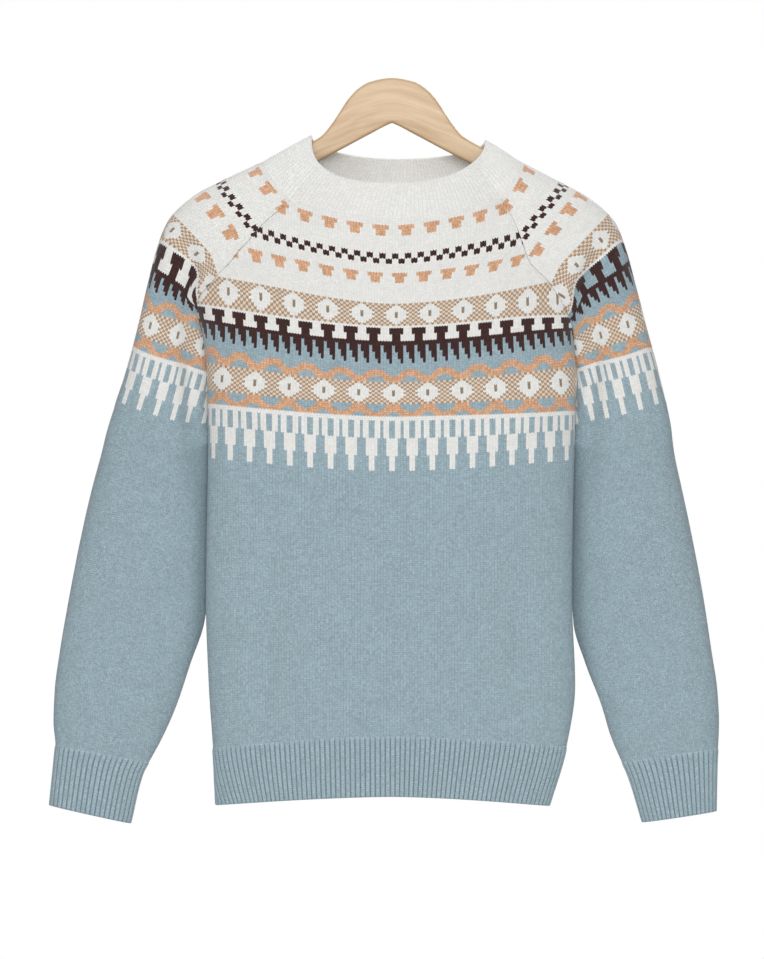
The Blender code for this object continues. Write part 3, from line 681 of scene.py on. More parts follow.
def knit(form):
    """The faces of all the half stitches of a panel, cut off at its seams. A vertex stands at a
    course and at a half wale, and the middle of a wale hangs half a stitch lower."""
    courses = form.courses
    half_wales = int(np.ceil(np.abs(form.wale[:, [0, -1]]).max()))
    columns = np.arange(-2 * half_wales, 2 * half_wales + 1)
    half_row = np.arange(courses + 1)[:, None] * 2.0 + columns % 2
    half_row[0] = 0
    half_row = np.minimum(half_row, 2 * courses)
    wale = columns / 2 * np.ones_like(half_row)
    low, high = seam_wales(form, half_row)
    inside_by = np.minimum(wale - low, high - wale)
    count = len(columns)
    half_rows, wales, depths = list(half_row.ravel()), list(wale.ravel()), list(inside_by.ravel())
    drawn = list(np.repeat(np.arange(courses + 1.0), count))
    cuts = {}

    def cut(a, b):
        """The vertex where the side of a half stitch crosses the seam."""
        key = (min(a, b), max(a, b))
        if key not in cuts:
            share = depths[a] / (depths[a] - depths[b])
            at = half_rows[a] + share * (half_rows[b] - half_rows[a])
            ends = seam_wales(form, at)
            half_rows.append(at)
            wales.append(float(ends[0] if wales[a] < 0 else ends[1]))
            drawn.append(drawn[a] + share * (drawn[b] - drawn[a]))
            cuts[key] = len(half_rows) - 1
        return cuts[key]

    faces, face_courses, face_wales = [], [], []
    for r in range(courses):
        inside = inside_by[r : r + 2] > 0
        for c in np.flatnonzero(inside[:, :-1].any(axis=0) | inside[:, 1:].any(axis=0)):
            c = int(c)
            ring = (r * count + c, (r + 1) * count + c, (r + 1) * count + c + 1, r * count + c + 1)
            corners = []
            for n, b in enumerate(ring):
                a = ring[n - 1]
                if (depths[a] > 0) != (depths[b] > 0):
                    corners.append(cut(a, b))
                if depths[b] > 0:
                    corners.append(b)
            faces.append(tuple(corners))
            face_courses.append(r)
            face_wales.append(c // 2)
    half_rows, wales = np.array(half_rows), np.array(wales)
    points, inward = on_form(form, half_rows, wales)
    relief = np.zeros(len(points))
    relief[: half_row.size] = np.where(columns % 2, 0.5, -0.5)[None].repeat(courses + 1, 0).ravel()
    points = points - inward * (WALE_RELIEF * relief)[:, None]
    return SimpleNamespace(
        points=points, inward=inward, faces=faces, courses=face_courses, wales=face_wales,
        flat=np.stack([wales, half_rows / 2], axis=-1),
        drawn=np.stack([wales, np.array(drawn)], axis=-1),
        first_wale=-half_wales, wale_count=2 * half_wales,
    )


def edge_loop(faces):
    """The boundary of a patch of faces as one closed loop of vertices."""
    edges = {(face[n - 1], v) for face in faces for n, v in enumerate(face)}
    following = {a: b for a, b in edges if (b, a) not in edges}
    loop = [min(following)]
    while following[loop[-1]] != loop[0]:
        loop.append(following[loop[-1]])
    return loop


def inner_triangles(loop_flat, lattice_flat):
    """Triangles that fill a loop and use the points of a lattice inside it."""
    points = [Vector(p) for p in np.concatenate([loop_flat, lattice_flat])]
    count = len(loop_flat)
    edges = [(n, (n + 1) % count) for n in range(count)]
    only_inside = 1
    _, _, triangles, origins, _, _ = delaunay_2d_cdt(points, edges, [], only_inside, SAME_POINT)
    return [tuple(origins[v][0] for v in triangle) for triangle in triangles]


def steps_within(count, step):
    """Every step-th number below a count that isn't close to either end."""
    return np.arange(step, count - step // 2, step)


def lattice_inside(form):
    """A coarse lattice of points over the inner side of a panel, with their flat places."""
    half_rows = steps_within(2 * form.courses, LATTICE_HALF_ROWS)
    samples = steps_within(SAMPLES, LATTICE_SAMPLES)
    picked = np.ix_(half_rows, samples)
    points = (form.grid + WALL * form.through)[picked].reshape(-1, 3)
    rows = np.repeat(half_rows / 2, len(samples))
    return points, np.stack([form.wale[picked].ravel(), rows], axis=-1)


def add_object(name, data):
    made = bpy.data.objects.new(name, data)
    bpy.context.scene.collection.objects.link(made)
    return made


def smooth_piece(name, mesh, rim_angle):
    """A piece whose faces shade into each other, apart from those that meet at a sharp rim."""
    mesh.shade_smooth()
    mesh.set_sharp_from_angle(angle=np.radians(rim_angle))
    return add_object(name, mesh)


def make_cloth(name, points, faces, yarn, stitch_map, bake_map):
    """A piece from its points and faces, with the yarn of each face and two maps of its corners."""
    mesh = bpy.data.meshes.new(name)
    mesh.from_pydata((np.asarray(points) * MM).tolist(), [], faces)
    attribute = mesh.attributes.new("yarn", "FLOAT", "FACE")
    attribute.data.foreach_set("value", np.asarray(yarn, np.float32))
    for map_name, values in (("stitches", stitch_map), ("OFBake", bake_map)):
        layer = mesh.uv_layers.new(name=map_name)
        layer.data.foreach_set("uv", np.asarray(values, np.float32).ravel())
    built = bmesh.new()
    built.from_mesh(mesh)
    loose = [v for v in built.verts if not v.link_faces]
    bmesh.ops.delete(built, geom=loose, context="VERTS")
    bmesh.ops.recalc_face_normals(built, faces=built.faces)
    built.to_mesh(mesh)
    built.free()
    return smooth_piece(name, mesh, RIM_ANGLE)


def make_panel(panel, grid, through, courses):
    """A knitted panel: its stitches outside, a plain inner side, and a rim that joins them. The rim
    has the yarns of the stitches beside it."""
    form = flat_form(grid, through, courses, KIND_OF_PANEL[panel])
    outer = knit(form)
    yarns = chart(panel, courses, outer.first_wale, outer.wale_count)
    loop = edge_loop(outer.faces)
    rim = outer.points[loop] + WALL * outer.inward[loop]
    lattice, lattice_flat = lattice_inside(form)
    inner_flat = np.concatenate([outer.flat[loop], lattice_flat])
    triangles = inner_triangles(outer.flat[loop], lattice_flat)
    first, around = len(outer.points), len(loop)
    rims = [
        (loop[(n + 1) % around], loop[n], first + n, first + (n + 1) % around)
        for n in range(around)
    ]
    inner = [tuple(first + v for v in reversed(triangle)) for triangle in triangles]
    beside = np.floor(outer.flat[loop]).astype(int)
    rim_courses = np.minimum(beside[:, 1], courses - 1)
    rim_wales = np.clip(beside[:, 0] - outer.first_wale, 0, outer.wale_count - 1)
    plain = [YARN_ORDER.index(letter) for letter in "WU"]
    inner_yarns = [plain[int(inner_flat[list(t), 1].mean() > STRANDED_FROM)] for t in triangles]
    origin, size = np.array([outer.first_wale, 0.0]), np.array([outer.wale_count, float(courses)])
    outer_map, inner_map = (
        (flat - origin) / size * scale + shift
        for flat, (scale, shift) in ((outer.drawn, OUTER_IN_MAP), (inner_flat, INNER_IN_MAP))
    )
    corners = [v for face in outer.faces for v in face]
    inner_corners = [v - first for triangle in inner for v in triangle]
    places = np.linspace(*RIM_ENDS_IN_MAP, around + 1)
    low, high = RIM_IN_MAP
    rim_map = [
        corner
        for a, b in zip(places, places[1:])
        for corner in ((b, high), (a, high), (a, low), (b, low))
    ]
    yarn_parts = yarns[outer.courses, outer.wales], yarns[rim_courses, rim_wales], inner_yarns
    flat_parts = outer.drawn[corners], outer.flat[loop].repeat(4, axis=0), inner_flat[inner_corners]
    map_parts = outer_map[corners], rim_map, inner_map[inner_corners]
    return make_cloth(
        f"{panel}_knit",
        np.concatenate([outer.points, rim, lattice]),
        outer.faces + rims + inner,
        *(np.concatenate(parts) for parts in (yarn_parts, flat_parts, map_parts)),
    )


# --- Ribbing ------------------------------------------------------------------------------------


def distances(points):
    """The distance of each point from the first, along the points."""
    step = np.linalg.norm(np.diff(points, axis=0), axis=1)
    return np.concatenate([[0], np.cumsum(step)])


def between_points(values, path, places):
    """Values of a closed path's points, read at places from 0 to 1 along its first row."""
    step = np.linalg.norm(np.diff(path[0], axis=0), axis=1)
    length = distances(path[0])
    at = places * length[-1]
    i = np.clip(np.searchsorted(length, at, side="right") - 1, 0, len(step) - 1)
    t = ((at - length[i]) / step[i])[:, None]
    return mix(values[:, i], values[:, i + 1], t)


def loop_normals(path):
    """Inward unit normals of a closed band."""
    across = np.roll(path[:, :-1], -1, axis=1) - np.roll(path[:, :-1], 1, axis=1)
    across = np.concatenate([across, across[:, :1]], axis=1)
    normals = unit(np.cross(across, np.gradient(path, axis=0)))
    to_middle = path.mean(axis=(0, 1)) - path
    return normals * np.sign((normals * to_middle).sum())


def corners_of(u0, v0, u1, v1):
    return [(u0, v0), (u0, v1), (u1, v1), (u1, v0)]


def make_ribbing(name, path, ribs, rise, yarns, lean=0.0):
    """A band of 1x1 rib round a closed path, from its sewn edge to its free edge: ridges outside
    and inside, which grow from the sewn edge, and a free edge that rounds over from one to the
    other. The ribs lean sideways by up to lean where the path starts and ends. Its two yarns are
    that of the outer side and that of the inner one."""
    columns = ribs * RIB_COLUMNS
    places = np.arange(columns) / columns
    around = np.linalg.norm(np.diff(path[0], axis=0), axis=1).sum()
    from_start = np.minimum(places, 1 - places) * around
    leaning = lean / around * np.exp(-((from_start / HEM_LEAN_REACH) ** 2))
    ways = loop_normals(path)
    outer, through = np.empty((2, len(path), columns, 3))
    for r, share in enumerate(np.linspace(0, 1, len(path))):
        at = (places + leaning * share**LEAN_POWER) % 1
        outer[r] = between_points(path[r : r + 1], path, at)[0]
        through[r] = unit(between_points(ways[r : r + 1], path, at)[0])
    phase = np.arange(columns) % RIB_COLUMNS / RIB_COLUMNS
    ridge = np.sin(np.pi * phase) ** RIDGE_POWER
    inner_ridge = np.sin(np.pi * ((phase + 0.5) % 1)) ** RIDGE_POWER
    from_sewn = np.linspace(0, 1, len(path)) * np.linalg.norm(path[-1, 0] - path[0, 0])
    rises = rise * (SEWN_HEIGHT + (1 - SEWN_HEIGHT) * ease(from_sewn, 0, RIB_START))
    down = unit(outer[-1] - outer[-2])
    outer[-1] -= down * WALL / 2
    sides = list(zip(outer, through, rises))
    rows = [row - height * ridge[:, None] * way for row, way, height in sides]
    for turn in np.radians(EDGE_TURNS):
        lift = rise * (ridge * np.cos(turn / 2) ** 2 - inner_ridge * np.sin(turn / 2) ** 2)
        centre = outer[-1] + through[-1] * WALL / 2 * (1 - np.cos(turn))
        rows.append(centre + down * WALL / 2 * np.sin(turn) - lift[:, None] * through[-1])
    inner = [row + (WALL + height * inner_ridge)[:, None] * way for row, way, height in sides]
    rows = np.array(rows + inner[::-1])
    count = len(rows)
    shown = np.concatenate([rises / rise, np.ones(len(EDGE_TURNS)), rises[::-1] / rise])[:, None]
    with_ridge = len(outer) + len(EDGE_TURNS) - 1
    furrows = 1 - np.array([ridge] * with_ridge + [inner_ridge] * (count - with_ridge))
    faces, stitch_map, bake_map = [], [], []
    for r in range(count):
        row, below = r * columns, (r + 1) % count * columns
        for c in range(columns):
            n = (c + 1) % columns
            faces.append((row + c, below + c, below + n, row + n))
            stitch_map += corners_of(c / RIB_COLUMNS, r, (c + 1) / RIB_COLUMNS, r + 1)
            bake_map += corners_of(c / columns, r / count, (c + 1) / columns, (r + 1) / count)
    outside = len(outer) + 1
    yarn_rows = yarns[0] * outside + yarns[1] * (count - outside)
    yarn = np.repeat([YARN_ORDER.index(letter) for letter in yarn_rows], columns)
    piece = make_cloth(name, rows.reshape(-1, 3), faces, yarn, stitch_map, bake_map)
    # The furrow attribute is the mask of the painted shade in the furrows between ribs.
    furrow = piece.data.attributes.new("furrow", "FLOAT", "POINT")
    furrow.data.foreach_set("value", (furrows * shown).ravel().astype(np.float32))
    return piece


def neck_edge(angle):
    """The top edge of the collar. The angle is 0 in front and grows towards the left."""
    right, front = np.sin(angle) < 0, np.cos(angle) > 0
    depth = np.where(front, NECK.depth_front, NECK.depth_back)
    side_drop = np.where(right, NECK.drop_right, NECK.drop_left)
    middle_drop = np.where(front, NECK.drop_front, NECK.drop_back)
    squareness = np.where(right, NECK.squareness_right, NECK.squareness_left)
    roundness = 2 / np.where(front, squareness, NECK.squareness_back)
    drop = side_drop + (middle_drop - side_drop) * np.abs(np.cos(angle)) ** roundness
    x = NECK.middle_x + NECK.half_width * signed_power(np.sin(angle), roundness)
    forward = signed_power(np.cos(angle), np.where(front, roundness / NECK.lean, roundness))
    return np.stack([x, -depth * forward, -drop], axis=-1)


def even_angles(angle, base):
    """The angles at which the collar's ribs meet its top edge, spaced evenly along each quarter of
    the edge, as they are along its base."""
    turn = 2 * np.pi
    along = distances(base)
    angles = np.concatenate([angle[:-1] - turn, angle, angle[1:] + turn])
    alongs = np.concatenate([along[:-1] - along[-1], along, along[1:] + along[-1]])
    dense = np.linspace(-turn, 2 * turn, EDGE_SAMPLES)
    along_edge = distances(neck_edge(dense))
    quarters = np.arange(-3, 8) * turn / 4
    at_base = np.interp(quarters, angles, alongs)
    at_edge = np.interp(quarters, dense, along_edge)
    return np.interp(np.interp(along, at_base, at_edge), along_edge, dense)


def collar_rows(base, count):
    """The rows of the collar from its base to its top edge."""
    spread_x = np.where(base[:, 0] < 0, BODY.column("width_right")[0], BODY.column("width_left")[0])
    angle = np.unwrap(np.arctan2(base[:, 0] / spread_x, -base[:, 1] / BODY.column("depth")[0]))
    top = neck_edge(even_angles(angle, base))
    outwards = np.stack([np.sin(angle), -np.cos(angle), 0 * angle], axis=-1)
    return np.array([
        mix(base, top, height) + outwards * (NECK.bulge * np.sin(np.pi * height))
        for height in np.linspace(0, 1, count)
    ])


# --- The pieces ---------------------------------------------------------------------------------

ACROSS = np.linspace(-1, 1, SAMPLES)
PANEL_SIGN = {"front": 1, "back": -1, "sleeve_right": -1, "sleeve_left": 1}  # turns normals inward
# The way inward along Y on the side that has the folds, or 0 for folds in front and behind alike.
PANEL_FACING = {"front": 1, "back": -1, "sleeve_right": 0, "sleeve_left": 0}


def body_surface(facing, first, last, rows):
    drops = np.linspace(BODY.key(first), BODY.key(last), rows)
    return np.array([body_ring(drop, facing, ACROSS) for drop in drops])


def dressed(name, grid, open_rows):
    """A panel's form with its folds and rolled edges, and the directions through the cloth."""
    inward = PANEL_SIGN[name] * grid_normals(grid)
    grid = with_folds(grid, inward, name, PANEL_FACING[name])
    return with_hang(name, *rolled_edges(grid, PANEL_SIGN[name] * grid_normals(grid), open_rows))


def make_body():
    courses = round((BODY.key("rib top") - BODY.key("collar")) / COURSE)
    open_rows = round(2 * (BODY.key("underarm") - BODY.key("collar")) / COURSE)
    pieces = {}
    for name, facing in (("front", -1), ("back", 1)):
        surface = body_surface(facing, "collar", "rib top", 2 * courses + 1)
        pieces[name] = make_panel(name, *dressed(name, surface, open_rows), courses)
    front, back = (body_surface(facing, "rib top", "hem", RIB_ROWS) for facing in (-1, 1))
    path = np.concatenate([front[:, :-1], back[:, :0:-1], front[:, :1]], axis=1)
    pieces["hem_rib"] = make_ribbing("hem_ribbing", path, HEM_RIBS, RIB_RISE, "UU", HEM_LEAN)
    return pieces


def make_sleeve(side):
    table = sleeve_courses(side)
    cuff_top = table.key("cuff top")
    courses = int(cuff_top)
    open_rows = round(2 * table.key("underarm"))
    name = f"sleeve_{side}"
    surface = sleeve_surface(side, np.linspace(0, cuff_top, 2 * courses + 1), ACROSS)
    sleeve = make_panel(name, *dressed(name, surface, open_rows), courses)
    path = sleeve_surface(side, np.linspace(cuff_top, table.key("cuff end"), RIB_ROWS), ACROSS)
    cuff = make_ribbing(f"cuff_{side}_ribbing", path, CUFF_RIBS, RIB_RISE, "UU")
    return {name: sleeve, f"cuff_{side}": cuff}


def make_collar():
    front, back = (body_surface(facing, "collar", "collar", 1)[0] for facing in (-1, 1))
    right, left = (sleeve_surface(side, [0.0], ACROSS)[0] for side in SIDES)
    base = np.concatenate([front[:-1], left[:-1], back[:0:-1], right[:0:-1], front[:1]])
    path = collar_rows(base, COLLAR_ROWS)
    # Its inner side is in the lighter off-white, painted light inside the collar.
    return {"collar_rib": make_ribbing("collar_ribbing", path, COLLAR_RIBS, FINE_RIB_RISE, "WI")}


def make_hanger():
    """A flat hanger with an arched crown, cut from board and rounded all along its edge."""
    spread, drop = CROWN_ROWS["round of the top"]
    crown = Table(CROWN_COLUMN_NAMES, {"other side": (-spread, drop), **CROWN_ROWS})
    underside = Table(CROWN_COLUMN_NAMES, UNDERSIDE_ROWS)
    radius = ARM_END_HEIGHT / 2
    end_x = HANGER_HALF_LENGTH - radius
    arm_start = crown.values[-1]
    end_drop = arm_start[1] + ARM_SLOPE * (end_x - arm_start[0]) + radius
    angle = np.radians(np.linspace(*ARM_END_ARC, ARM_END_POINTS))
    tip = np.stack([end_x + radius * np.cos(angle), -end_drop + radius * np.sin(angle)], axis=-1)
    top_x = np.linspace(0, arm_start[0], CROWN_POINTS)
    top = np.stack([top_x, -crown.read("drop", top_x)], axis=-1)
    under_x = np.linspace(underside.values[-1, 0], 0, UNDERSIDE_POINTS)
    under = np.stack([under_x, -underside.read("drop", under_x)], axis=-1)
    half = np.concatenate([top, tip, under])
    outline = np.concatenate([half, half[-2:0:-1] * (-1, 1)])
    curve = bpy.data.curves.new("hanger_outline", "CURVE")
    curve.dimensions = "2D"
    curve.fill_mode = "BOTH"
    curve.extrude = (HANGER_THICKNESS / 2 - HANGER_ROUNDING) * MM
    curve.bevel_depth = HANGER_ROUNDING * MM
    curve.bevel_resolution = WOOD_BEVEL_STEPS
    curve.offset = -HANGER_ROUNDING * MM
    spline = curve.splines.new("POLY")
    spline.points.add(len(outline) - 1)
    for point, (x, z) in zip(spline.points, outline):
        point.co = (x * MM, z * MM, 0, 1)
    spline.use_cyclic_u = True
    drawn = add_object("hanger_outline", curve)
    drawn.rotation_euler = (np.radians(90), 0, 0)
    bpy.context.view_layer.update()
    solid = drawn.evaluated_get(bpy.context.evaluated_depsgraph_get())
    mesh = bpy.data.meshes.new_from_object(solid)
    mesh.transform(drawn.matrix_world)
    bpy.data.objects.remove(drawn)
    built = bmesh.new()
    built.from_mesh(mesh)
    bmesh.ops.remove_doubles(built, verts=built.verts, dist=SAME_POINT)
    built.to_mesh(mesh)
    built.free()
    return {"hanger": smooth_piece("hanger_wood", mesh, WOOD_RIM_ANGLE)}


# --- Materials ----------------------------------------------------------------------------------

# How far each effect takes the shade of the wool, from its low end to its high one.
FLECK_SHADE = (0.45, 1.55)
CLOUD_SHADE = (0.93, 1.07)
STITCH_SHADE = (0.91, 1.09)
# Painted shade: the low parts of each stitch are painted darker and its high parts lighter.
HEIGHT_PAINTED_SHADE = (0.84, 1.08)
# Painted shade in the furrow beside each wale, and a little painted light in its middle.
WALE_FURROW_PAINTED_SHADE = (1.03, 0.80)
# Painted light on the ridge of a rib, and painted shade in its furrow, for the hem, the cuffs and the
# collar.
RIDGE_PAINTED_LIGHT = 1.10
RIB_FURROW_PAINTED_SHADE = 0.52
FINE_RIB_FURROW_PAINTED_SHADE = 0.86
# The painted shade in the furrows between ribs is uneven from stitch to stitch.
BROKEN_FURROW_PAINTED_SHADE = (0.6, 1.2)  # how strongly a furrow between ribs shows from stitch to stitch
LEG_POWER = 0.6  # below 1 the legs of a stitch are plump
PLUMP_POWER = 0.5
FURROW_POWER = 6.0  # above 1 the furrow beside a wale is narrow
BEECH_RAMP = ((0.32, (0.471, 0.301, 0.157, 1)), (0.68, (0.602, 0.431, 0.248, 1)))


def new_group(name, inputs, outputs):
    """An empty node group with named sockets. An input has a type and a value."""
    group = bpy.data.node_groups.new(name, "ShaderNodeTree")
    for socket, (kind, value) in inputs.items():
        made = group.interface.new_socket(socket, in_out="INPUT", socket_type=kind)
        if value is not None:
            made.default_value = value
    for socket, kind in outputs.items():
        group.interface.new_socket(socket, in_out="OUTPUT", socket_type=kind)
    return group, group.nodes.new("NodeGroupInput"), group.nodes.new("NodeGroupOutput")


def set_inputs(tree, node, inputs):
    """Gives a node's inputs values or other nodes' sockets."""
    for key, value in inputs.items():
        if isinstance(value, bpy.types.NodeSocket):
            tree.links.new(value, node.inputs[key])
        else:
            node.inputs[key].default_value = value


def add_node(tree, kind, inputs=None, **settings):
    node = tree.nodes.new("ShaderNode" + kind)
    for key, value in settings.items():
        setattr(node, key, value)
    set_inputs(tree, node, inputs or {})
    return node


def maths(tree, operation, *values):
    return add_node(tree, "Math", dict(enumerate(values)), operation=operation).outputs[0]


def product(tree, first, *others):
    for value in others:
        first = maths(tree, "MULTIPLY", first, value)
    return first


def scaled(tree, value, low, high):
    """A value from 0 to 1, brought to run from low to high."""
    return maths(tree, "MULTIPLY_ADD", value, high - low, low)


def noise(tree, where, scale, detail, roughness, distortion=0.0):
    inputs = {
        "Vector": where, "Scale": scale, "Detail": detail, "Roughness": roughness,
        "Distortion": distortion,
    }
    return add_node(tree, "TexNoise", inputs)


def stitch_group():
    """The relief of stockinette stitches, the furrow beside each wale where shade is painted, and a
    random tone for each stitch, from a map that counts wales and courses.
    """
    group, given, out = new_group(
        "knit stitch",
        {"Stitches": ("NodeSocketVector", None), "Slant": ("NodeSocketFloat", 0.55)},
        {"Height": "NodeSocketFloat", "Furrow": "NodeSocketFloat", "Shade": "NodeSocketFloat"},
    )
    place = add_node(group, "SeparateXYZ", {0: given.outputs["Stitches"]})
    wale, course = place.outputs[0], place.outputs[1]
    across = maths(group, "FRACT", wale)
    from_middle = maths(group, "ABSOLUTE", maths(group, "SUBTRACT", across, 0.5))
    leg = maths(group, "SINE", product(group, from_middle, 2 * np.pi))
    lean = product(group, from_middle, given.outputs["Slant"])
    along = maths(group, "FRACT", maths(group, "SUBTRACT", course, lean))
    plump = maths(group, "SINE", product(group, along, np.pi))
    cell = {0: maths(group, "FLOOR", wale), 1: maths(group, "FLOOR", course)}
    cell = add_node(group, "CombineXYZ", cell).outputs[0]
    shade = add_node(group, "TexWhiteNoise", {"Vector": cell}, noise_dimensions="2D")
    leg, plump = maths(group, "POWER", leg, LEG_POWER), maths(group, "POWER", plump, PLUMP_POWER)
    set_inputs(group, out, {
        "Height": product(group, leg, plump),
        # Furrow is the mask for the painted shade beside each wale.
        "Furrow": maths(group, "POWER", product(group, from_middle, 2.0), FURROW_POWER),
        "Shade": shade.outputs["Value"],
    })
    return group


def wool_group():
    """Heather: flecks of lighter and darker fibre, and the soft relief of the nap."""
    group, given, out = new_group(
        "wool fibre",
        {"Fleck Size": ("NodeSocketFloat", 700.0), "Cloud Size": ("NodeSocketFloat", 60.0)},
        {"Fleck": "NodeSocketFloat", "Cloud": "NodeSocketFloat", "Nap": "NodeSocketFloat"},
    )
    where = add_node(group, "TexCoord").outputs["Object"]
    set_inputs(group, out, {
        "Fleck": noise(group, where, given.outputs["Fleck Size"], 3.0, 0.7).outputs[0],
        "Cloud": noise(group, where, given.outputs["Cloud Size"], 4.0, 0.6).outputs[0],
        "Nap": noise(group, where, 1900.0, 2.0, 0.8, 0.6).outputs[0],
    })
    return group


def yarn_group():
    """The colour of each yarn, by its number, and how strongly heather and the painted shade of the
    relief show in it.
    """
    group, given, out = new_group(
        "yarn colours",
        {"Yarn": ("NodeSocketFloat", 0.0)},
        {"Color": "NodeSocketColor", "Depth": "NodeSocketFloat"},
    )
    share = maths(group, "DIVIDE", maths(group, "ADD", given.outputs["Yarn"], 0.5), len(YARN_ORDER))
    for socket, colour_of in (
        ("Color", lambda colour, depth: colour),
        ("Depth", lambda colour, depth: (depth / 2,) * 3),
    ):
        ramp = add_node(group, "ValToRGB", {0: share})
        ramp.color_ramp.interpolation = "CONSTANT"
        elements = ramp.color_ramp.elements
        while len(elements) < len(YARN_ORDER):
            elements.new(1.0)
        for n, letter in enumerate(YARN_ORDER):
            elements[n].position = n / len(YARN_ORDER)
            elements[n].color = (*colour_of(*YARNS[letter][1:]), 1)
        group.links.new(ramp.outputs[0], out.inputs[socket])
    return group


def new_material(name):
    material = bpy.data.materials.new(name)
    material.use_nodes = True
    return material, material.node_tree, material.node_tree.nodes["Principled BSDF"]


def make_wool(name, groups, painted_furrow_shade=None):
    """Brushed wool in the yarns of the chart, with painted shade in the low parts of its stitches. In
    ribbing the furrows between ribs are painted darker and the ridges painted lighter, by the painted
    furrow shade."""
    material, tree, shader = new_material(name)
    stitch_map = add_node(tree, "UVMap", uv_map="stitches").outputs[0]
    yarn = add_node(tree, "Attribute", attribute_name="yarn").outputs["Fac"]
    stitch = add_node(tree, "Group", {"Stitches": stitch_map}, node_tree=groups["stitch"]).outputs
    fibre = add_node(tree, "Group", node_tree=groups["wool"]).outputs
    colour = add_node(tree, "Group", {"Yarn": yarn}, node_tree=groups["yarn"]).outputs
    # In ribbing, painted shade in the furrows between ribs and painted light on the ridges.
    if painted_furrow_shade:
        furrow = add_node(tree, "Attribute", attribute_name="furrow").outputs["Fac"]
        broken = product(tree, furrow, scaled(tree, stitch["Shade"], *BROKEN_FURROW_PAINTED_SHADE))
        painted_shade_by_furrow = scaled(tree, broken, RIDGE_PAINTED_LIGHT, painted_furrow_shade)
    else:
        # Elsewhere, painted shade in the furrow beside each wale.
        painted_shade_by_furrow = scaled(tree, stitch["Furrow"], *WALE_FURROW_PAINTED_SHADE)
    # The wool's own heather and tone, times the painted shade of the stitches' relief and furrows.
    shade = product(
        tree,
        scaled(tree, fibre["Fleck"], *FLECK_SHADE),
        scaled(tree, fibre["Cloud"], *CLOUD_SHADE),
        scaled(tree, stitch["Shade"], *STITCH_SHADE),
        scaled(tree, stitch["Height"], *HEIGHT_PAINTED_SHADE),
        painted_shade_by_furrow,
    )
    # Each yarn takes the heather and the painted shade at its own strength.
    depth = product(tree, colour["Depth"], 2.0)
    shade = maths(tree, "MULTIPLY_ADD", maths(tree, "SUBTRACT", shade, 1.0), depth, 1.0)
    shaded = {0: colour["Color"], "Scale": shade}
    height = maths(tree, "ADD", stitch["Height"], scaled(tree, fibre["Nap"], 0, 0.7))
    bump = add_node(tree, "Bump", {"Height": height, "Strength": 0.7, "Distance": 0.0005})
    set_inputs(tree, shader, {
        "Base Color": add_node(tree, "VectorMath", shaded, operation="SCALE").outputs[0],
        "Normal": bump.outputs[0],
        "Roughness": scaled(tree, fibre["Fleck"], 0.86, 1.0),
        "Specular IOR Level": 0.25,
        "Sheen Weight": 0.22,
        "Sheen Roughness": 0.55,
    })
    return material


def make_beech():
    """Pale beech with a satin varnish: fine grain lines along the board, and short flecks."""
    material, tree, shader = new_material("satin_beech")
    where = add_node(tree, "TexCoord").outputs["Object"]
    x, y, z = add_node(tree, "SeparateXYZ", {0: where}).outputs
    spread = maths(tree, "ABSOLUTE", x)
    bend = maths(tree, "SQRT", maths(tree, "MULTIPLY_ADD", spread, spread, GRAIN_BEND**2))
    along_arm = {0: x, 1: y, 2: maths(tree, "MULTIPLY_ADD", bend, ARM_SLOPE, z)}
    along_arm = add_node(tree, "CombineXYZ", along_arm).outputs[0]
    stretched = add_node(tree, "Mapping", {"Vector": along_arm, "Scale": (9.0, 120.0, 120.0)})
    warp = noise(tree, where, 14.0, 2.0, 0.5).outputs["Color"]
    bent = add_node(tree, "VectorMath", {0: stretched.outputs[0], 1: warp}, operation="ADD")
    grain = noise(tree, bent.outputs[0], 1.6, 6.0, 0.6).outputs[0]
    ramp = add_node(tree, "ValToRGB", {0: grain})
    for element, (position, colour) in zip(ramp.color_ramp.elements, BEECH_RAMP):
        element.position = position
        element.color = colour
    bump = add_node(tree, "Bump", {"Height": grain, "Strength": 0.15, "Distance": 0.0004})
    set_inputs(tree, shader, {
        "Base Color": ramp.outputs[0],
        "Normal": bump.outputs[0],
        "Roughness": scaled(tree, grain, 0.55, 0.38),
        "Coat Weight": 0.2,
        "Coat Roughness": 0.3,
    })
    return material


# --- Camera, light and floor, in metres ---------------------------------------------------------

CAMERA_PLACE = (-0.0095, -9.0, -0.3814)
SEEN_HEIGHT = 0.911  # how much of the jumper's height and surround the picture covers
SENSOR = 36.0
FLOOR_DROP = 1.2
FLOOR_RADIUS = 1.2
SURROUND_STRENGTH = 0.36
LIGHT_AIM = (0, 0, -0.36)
LIGHTS = {  # the place and width of each, and its power in watts
    "key": ((-1.6, -2.6, 0.7), 1.8, 22),
    "fill": ((1.6, -2.6, 0.3), 1.8, 17),
    "front": ((0, -6.0, 0.7), 1.9, 158),
    "top": ((0, 0.6, 1.6), 1.4, 14),
    "behind": ((0.6, 2.6, 0.5), 1.8, 40),
}


def make_camera():
    data = bpy.data.cameras.new("camera")
    data.sensor_width = SENSOR
    data.lens = SENSOR * abs(CAMERA_PLACE[1]) / SEEN_HEIGHT
    camera = add_object("camera", data)
    camera.location = CAMERA_PLACE
    camera.rotation_euler = (np.radians(90), 0, 0)
    bpy.context.scene.camera = camera


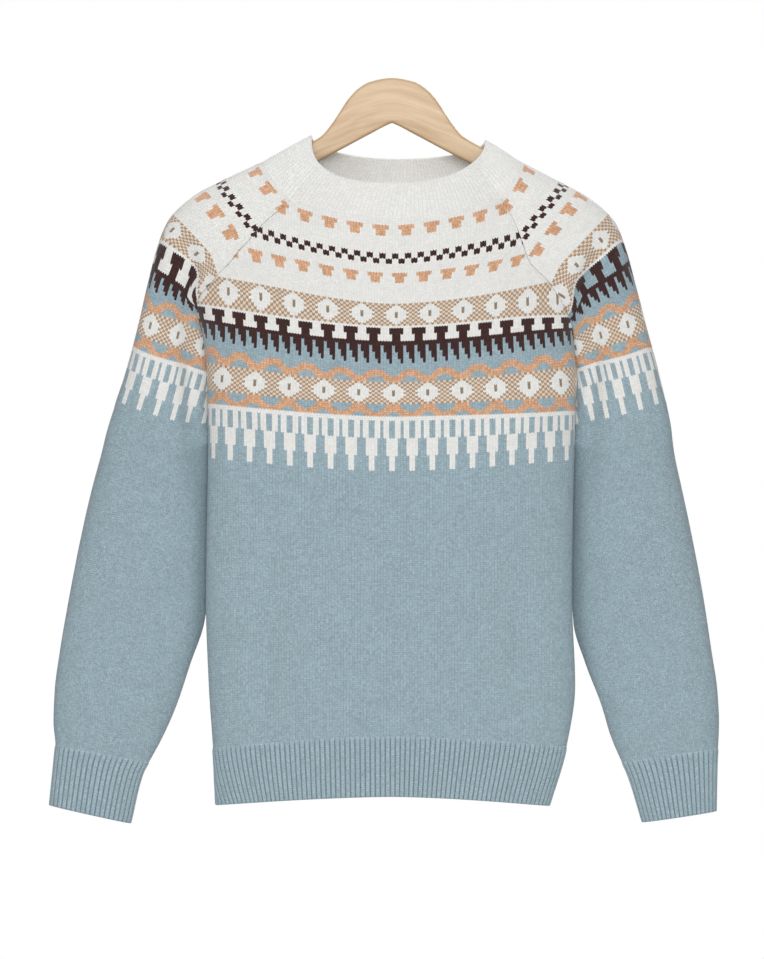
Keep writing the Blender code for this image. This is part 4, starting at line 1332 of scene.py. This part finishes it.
def make_light(name, place, width, power):
    data = bpy.data.lights.new(name, "AREA")
    data.shape = "DISK"
    data.size = width
    data.energy = power
    light = add_object(name, data)
    light.location = place
    light.rotation_euler = (Vector(LIGHT_AIM) - Vector(place)).to_track_quat("-Z", "Y").to_euler()


def make_studio():
    """A white surround, soft lights from the front, above and behind, and a pale floor below."""
    for name, light in LIGHTS.items():
        make_light(name, *light)
    world = bpy.data.worlds.new("white surround")
    bpy.context.scene.world = world
    world.use_nodes = True
    tree = world.node_tree
    background = tree.nodes["Background"]
    set_inputs(tree, background, {"Color": (1, 1, 1, 1), "Strength": SURROUND_STRENGTH})
    seen = add_node(tree, "Background", {"Color": (1, 1, 1, 1), "Strength": 1.0}).outputs[0]
    by_camera = add_node(tree, "LightPath").outputs["Is Camera Ray"]
    mixed = add_node(tree, "MixShader", {0: by_camera, 1: background.outputs[0], 2: seen})
    set_inputs(tree, tree.nodes["World Output"], {"Surface": mixed.outputs[0]})
    bpy.ops.mesh.primitive_circle_add(
        vertices=96, radius=FLOOR_RADIUS, fill_type="NGON", location=(0, 0, -FLOOR_DROP)
    )
    floor = bpy.context.object
    floor.name = "floor"
    pale, tree, shader = new_material("pale_floor")
    set_inputs(tree, shader, {"Base Color": (0.8, 0.8, 0.79, 1), "Roughness": 0.9})
    floor.data.materials.append(pale)
    bpy.context.scene.view_settings.view_transform = "Standard"


# --- All of it ----------------------------------------------------------------------------------


def main():
    make_camera()
    make_studio()
    groups = {"stitch": stitch_group(), "wool": wool_group(), "yarn": yarn_group()}
    knitted = make_wool("brushed_wool_stockinette", groups)
    ribbed = make_wool("brushed_wool_rib", groups, RIB_FURROW_PAINTED_SHADE)
    fine_ribbed = make_wool("brushed_wool_fine_rib", groups, FINE_RIB_FURROW_PAINTED_SHADE)
    finishes = {"hem_rib": ribbed, "cuff_right": ribbed, "cuff_left": ribbed}
    finishes.update({"hanger": make_beech(), "collar_rib": fine_ribbed})
    pieces = {**make_body(), **make_collar(), **make_hanger()}
    for side in SIDES:
        pieces.update(make_sleeve(side))
    for node, piece in pieces.items():
        piece.data.materials.append(finishes.get(node, knitted))
        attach(piece, "root")
        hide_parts(node)


main()
